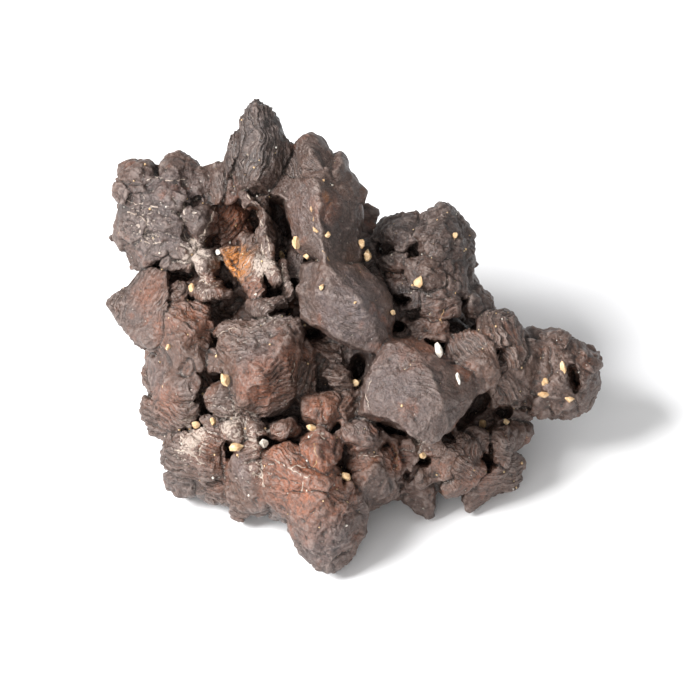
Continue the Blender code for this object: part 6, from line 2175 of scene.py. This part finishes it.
@dataclass
class PaleCrust:
    """Thin pale veins and crusts that lie on the crystals, one joined mesh for each kind.

    Args:
        plane: the sight plane.
        skin: the stone's skin.
        step: distance between the rings of a vein, in millimetres.
        stray: how far a vein strays from its course, in millimetres.
        height_share: how far a vein stands out, as a share of its width.
        longest_jump: a vein breaks where the surface drops more than this in one step, in millimetres.
        top_share: width of a vein's top, as a share of its foot.
        thinnest: a vein breaks where it is thinner than this share of its width.
        bends: fineness and strength of the noise that bends it.
        swell: fineness, middle and reach of the noise that narrows and widens it.
    """

    plane: SightPlane
    skin: bpy.types.Object
    step: float = 0.12
    stray: float = 0.35
    height_share: float = 0.2
    longest_jump: float = 0.5
    top_share: float = 0.6
    thinnest: float = 0.15
    bends: tuple[Range, ...] = ((0.9, 1.0), (3.5, 0.4))
    swell: Place = (2.3, 0.55, 1.6)

    def course(self, vein: Vein, number: int) -> list[tuple[float, float, float]]:
        """Follows a vein step by step.

        Args:
            vein: the vein.
            number: its number, which settles how it strays.

        Returns:
            Where it is seen, across and up, and its width there, in millimetres.
        """
        found = []
        for (x, y), (next_x, next_y) in zip(vein.course, vein.course[1:]):
            steps = max(2, round(math.hypot(next_x - x, next_y - y) / self.step))
            for i in range(steps):
                across = x + (next_x - x) * i / steps
                up = y + (next_y - y) * i / steps
                place = Vector((across, up, number * VEIN_STEP))
                bend = Vector()
                for fineness, strength in self.bends:
                    bend += noise.noise_vector(place * fineness) * self.stray * strength
                fineness, middle, reach = self.swell
                swollen = middle + reach * noise.noise(place * fineness + SWELL_SHIFT)
                wide = vein.wide * max(0.0, swollen)
                found.append((across + bend.x, up + bend.y, wide))
        return found

    def lay(self, shape: bmesh.types.BMesh, rings: list[tuple[Vector, Vector, float]]) -> None:
        """Adds one unbroken stretch of vein.

        Args:
            shape: the mesh that gets it.
            rings: the place, normal and width of each ring, in metres.
        """
        if len(rings) < 3:
            return
        made = []
        for i, (place, normal, wide) in enumerate(rings):
            ahead = rings[min(i + 1, len(rings) - 1)][0] - rings[max(i - 1, 0)][0]
            side = ahead.cross(normal).normalized() * (wide / 2)
            lift = normal * (wide * self.height_share)
            top = side * self.top_share
            corners = (side - lift, top + lift, lift - top, -side - lift)
            made.append([shape.verts.new(place + corner) for corner in corners])
        for low, high in zip(made, made[1:]):
            for i in range(4):
                j = (i + 1) % 4
                shape.faces.new((low[i], low[j], high[j], high[i]))
        shape.faces.new(made[0][::-1])
        shape.faces.new(made[-1])

    def build(self, finishes: dict[Grit, bpy.types.Material]) -> None:
        """Lays every vein on the stone.

        Args:
            finishes: the material of each kind.
        """
        surface = BVHTree.FromObject(self.skin, bpy.context.evaluated_depsgraph_get())
        eye = self.plane.eye()
        shapes = {grit: bmesh.new() for grit in Grit}
        noise.seed_set(int(Seed.VEIN))
        for number, vein in enumerate(VEINS):
            rings = []
            for across, up, wide in self.course(vein, number):
                way = (self.plane.seen_at(across, up) - eye).normalized()
                place, normal, _, _ = surface.ray_cast(eye, way)
                broken = place is None or wide < self.thinnest * vein.wide
                if broken or (rings and (place - rings[-1][0]).length > self.longest_jump * MM):
                    self.lay(shapes[vein.grit], rings)
                    rings = []
                if not broken:
                    rings.append((place, normal, wide * MM))
            self.lay(shapes[vein.grit], rings)
        for grit, shape in shapes.items():
            bmesh.ops.recalc_face_normals(shape, faces=shape.faces)
            grown_on(f"crust_{grit.value}", shape, finishes[grit])


# Edges that bend more than this stay sharp on grains and crusts.
SHARP_EDGE = math.radians(20)


def grown_on(name: str, shape: bmesh.types.BMesh, material: bpy.types.Material) -> None:
    """Makes one object that rides on the stone.

    Args:
        name: the piece's name.
        shape: its mesh, which is freed.
        material: its material.
    """
    mesh = bpy.data.meshes.new(name)
    shape.to_mesh(mesh)
    shape.free()
    made = bpy.data.objects.new(name, mesh)
    bpy.context.scene.collection.objects.link(made)
    mesh.materials.append(material)
    mesh.shade_smooth()
    mesh.set_sharp_from_angle(angle=SHARP_EDGE)
    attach(made, BODY)
    LOG.info("%s: %d faces", name, len(mesh.polygons))


SAND = {
    Grit.TAN: SandQuartz("tan_sand", (0.60, 0.44, 0.26, 1), (0.38, 0.23, 0.11, 1)),
    Grit.WHITE: SandQuartz("white_sand", (0.66, 0.61, 0.55, 1), (0.42, 0.37, 0.31, 1)),
}
CRUSTS = {
    Grit.TAN: SandQuartz("tan_crust", (0.42, 0.27, 0.14, 1), (0.20, 0.11, 0.05, 1), see_through=0.0),
    Grit.WHITE: SandQuartz("white_crust", (0.40, 0.33, 0.27, 1), (0.20, 0.15, 0.12, 1), see_through=0.0),
}


@dataclass
class Studio:
    """A plain pale table, soft studio light and the camera.

    Args:
        plane: the sight plane, which gives the camera its place.
        picture_width: what the picture spans at the sight plane, in millimetres.
        table_size: half the side of the table, in metres.
        table_tones: the two colours of the table.
        tone_by: the range of the noise over which they change.
        tone_scale: how fine that noise is, per metre.
        dullness, shine: roughness and reflections of the table.
        aim: what the lights face, in metres.
        sky: the strength of the even light from all round.
    """

    plane: SightPlane
    picture_width: float = 100.0
    table_size: float = 3.0
    table_tones: tuple[Colour, Colour] = ((0.80, 0.80, 0.81, 1), (0.84, 0.84, 0.84, 1))
    tone_by: Range = (0.3, 0.7)
    tone_scale: float = 40.0
    dullness: float = 0.55
    shine: float = 0.3
    aim: Place = (0, 0, 0.02)
    sky: float = 0.55

    def camera(self) -> None:
        """The camera, square to the sight plane."""
        data = bpy.data.cameras.new("camera")
        data.sensor_width = 36.0
        data.lens = data.sensor_width * self.plane.eye_distance / self.picture_width
        data.clip_start = 0.01
        made = bpy.data.objects.new("camera", data)
        bpy.context.scene.collection.objects.link(made)
        turned = Matrix(self.plane.turn().tolist()).to_4x4()
        turned.translation = self.plane.eye()
        made.matrix_world = turned
        bpy.context.scene.camera = made

    def table(self) -> None:
        """Makes the table, a very wide pale plane."""
        shape = bmesh.new()
        bmesh.ops.create_grid(shape, x_segments=1, y_segments=1, size=self.table_size)
        mesh = bpy.data.meshes.new("table")
        shape.to_mesh(mesh)
        shape.free()
        made = bpy.data.objects.new("table", mesh)
        bpy.context.scene.collection.objects.link(made)
        material = bpy.data.materials.new("pale_table")
        material.use_nodes = True
        kit = NodeKit(material.node_tree)
        shader = material.node_tree.nodes["Principled BSDF"]
        tone = kit.spread(kit.noise(kit.place(), self.tone_scale, 2.0), *self.tone_by)
        kit.join(kit.mix(tone, *self.table_tones), shader.inputs["Base Color"])
        shader.inputs["Roughness"].default_value = self.dullness
        shader.inputs["Specular IOR Level"].default_value = self.shine
        mesh.materials.append(material)

    def softbox(self, name: str, place: Sequence[float], size: float, power: float) -> None:
        """An area light that faces the stone.

        Args:
            name: the light's name.
            place: where it is, in metres.
            size: its side, in metres.
            power: in watts.
        """
        data = bpy.data.lights.new(name, "AREA")
        data.size = size
        data.energy = power
        made = bpy.data.objects.new(name, data)
        made.location = place
        away = Vector(place) - Vector(self.aim)
        made.rotation_euler = away.to_track_quat("Z", "Y").to_euler()
        bpy.context.scene.collection.objects.link(made)

    def lights(self) -> None:
        """A softbox from the upper left, a weaker one from in front and an even sky."""
        self.softbox("key", (-0.55, -0.25, 0.58), size=0.35, power=16.0)
        self.softbox("front fill", (-0.25, -0.8, 0.3), size=0.7, power=5.0)
        world = bpy.data.worlds.new("sky")
        world.use_nodes = True
        background = world.node_tree.nodes["Background"]
        background.inputs["Color"].default_value = (1.0, 1.0, 1.0, 1)
        background.inputs["Strength"].default_value = self.sky
        bpy.context.scene.world = world

    def build(self) -> None:
        """Sets up the studio."""
        self.camera()
        self.table()
        self.lights()
        bpy.context.scene.view_settings.view_transform = "Standard"


def main() -> None:
    """Builds the pieces in order."""
    logging.basicConfig(level=logging.INFO, format="%(message)s")
    plane = SightPlane()
    Studio(plane).build()
    LOG.info("studio: ready")
    effects = Effects()
    stone = StoneSkin(plane)
    skin = stone.build()
    stone.cut(skin, IronOxide().material(effects))
    LodgedSand(plane, skin).build({grit: finish.material(effects) for grit, finish in SAND.items()})
    PaleCrust(plane, skin).build({grit: finish.material(effects) for grit, finish in CRUSTS.items()})
    bpy.data.objects.remove(skin)


if __name__ == "__main__":
    main()
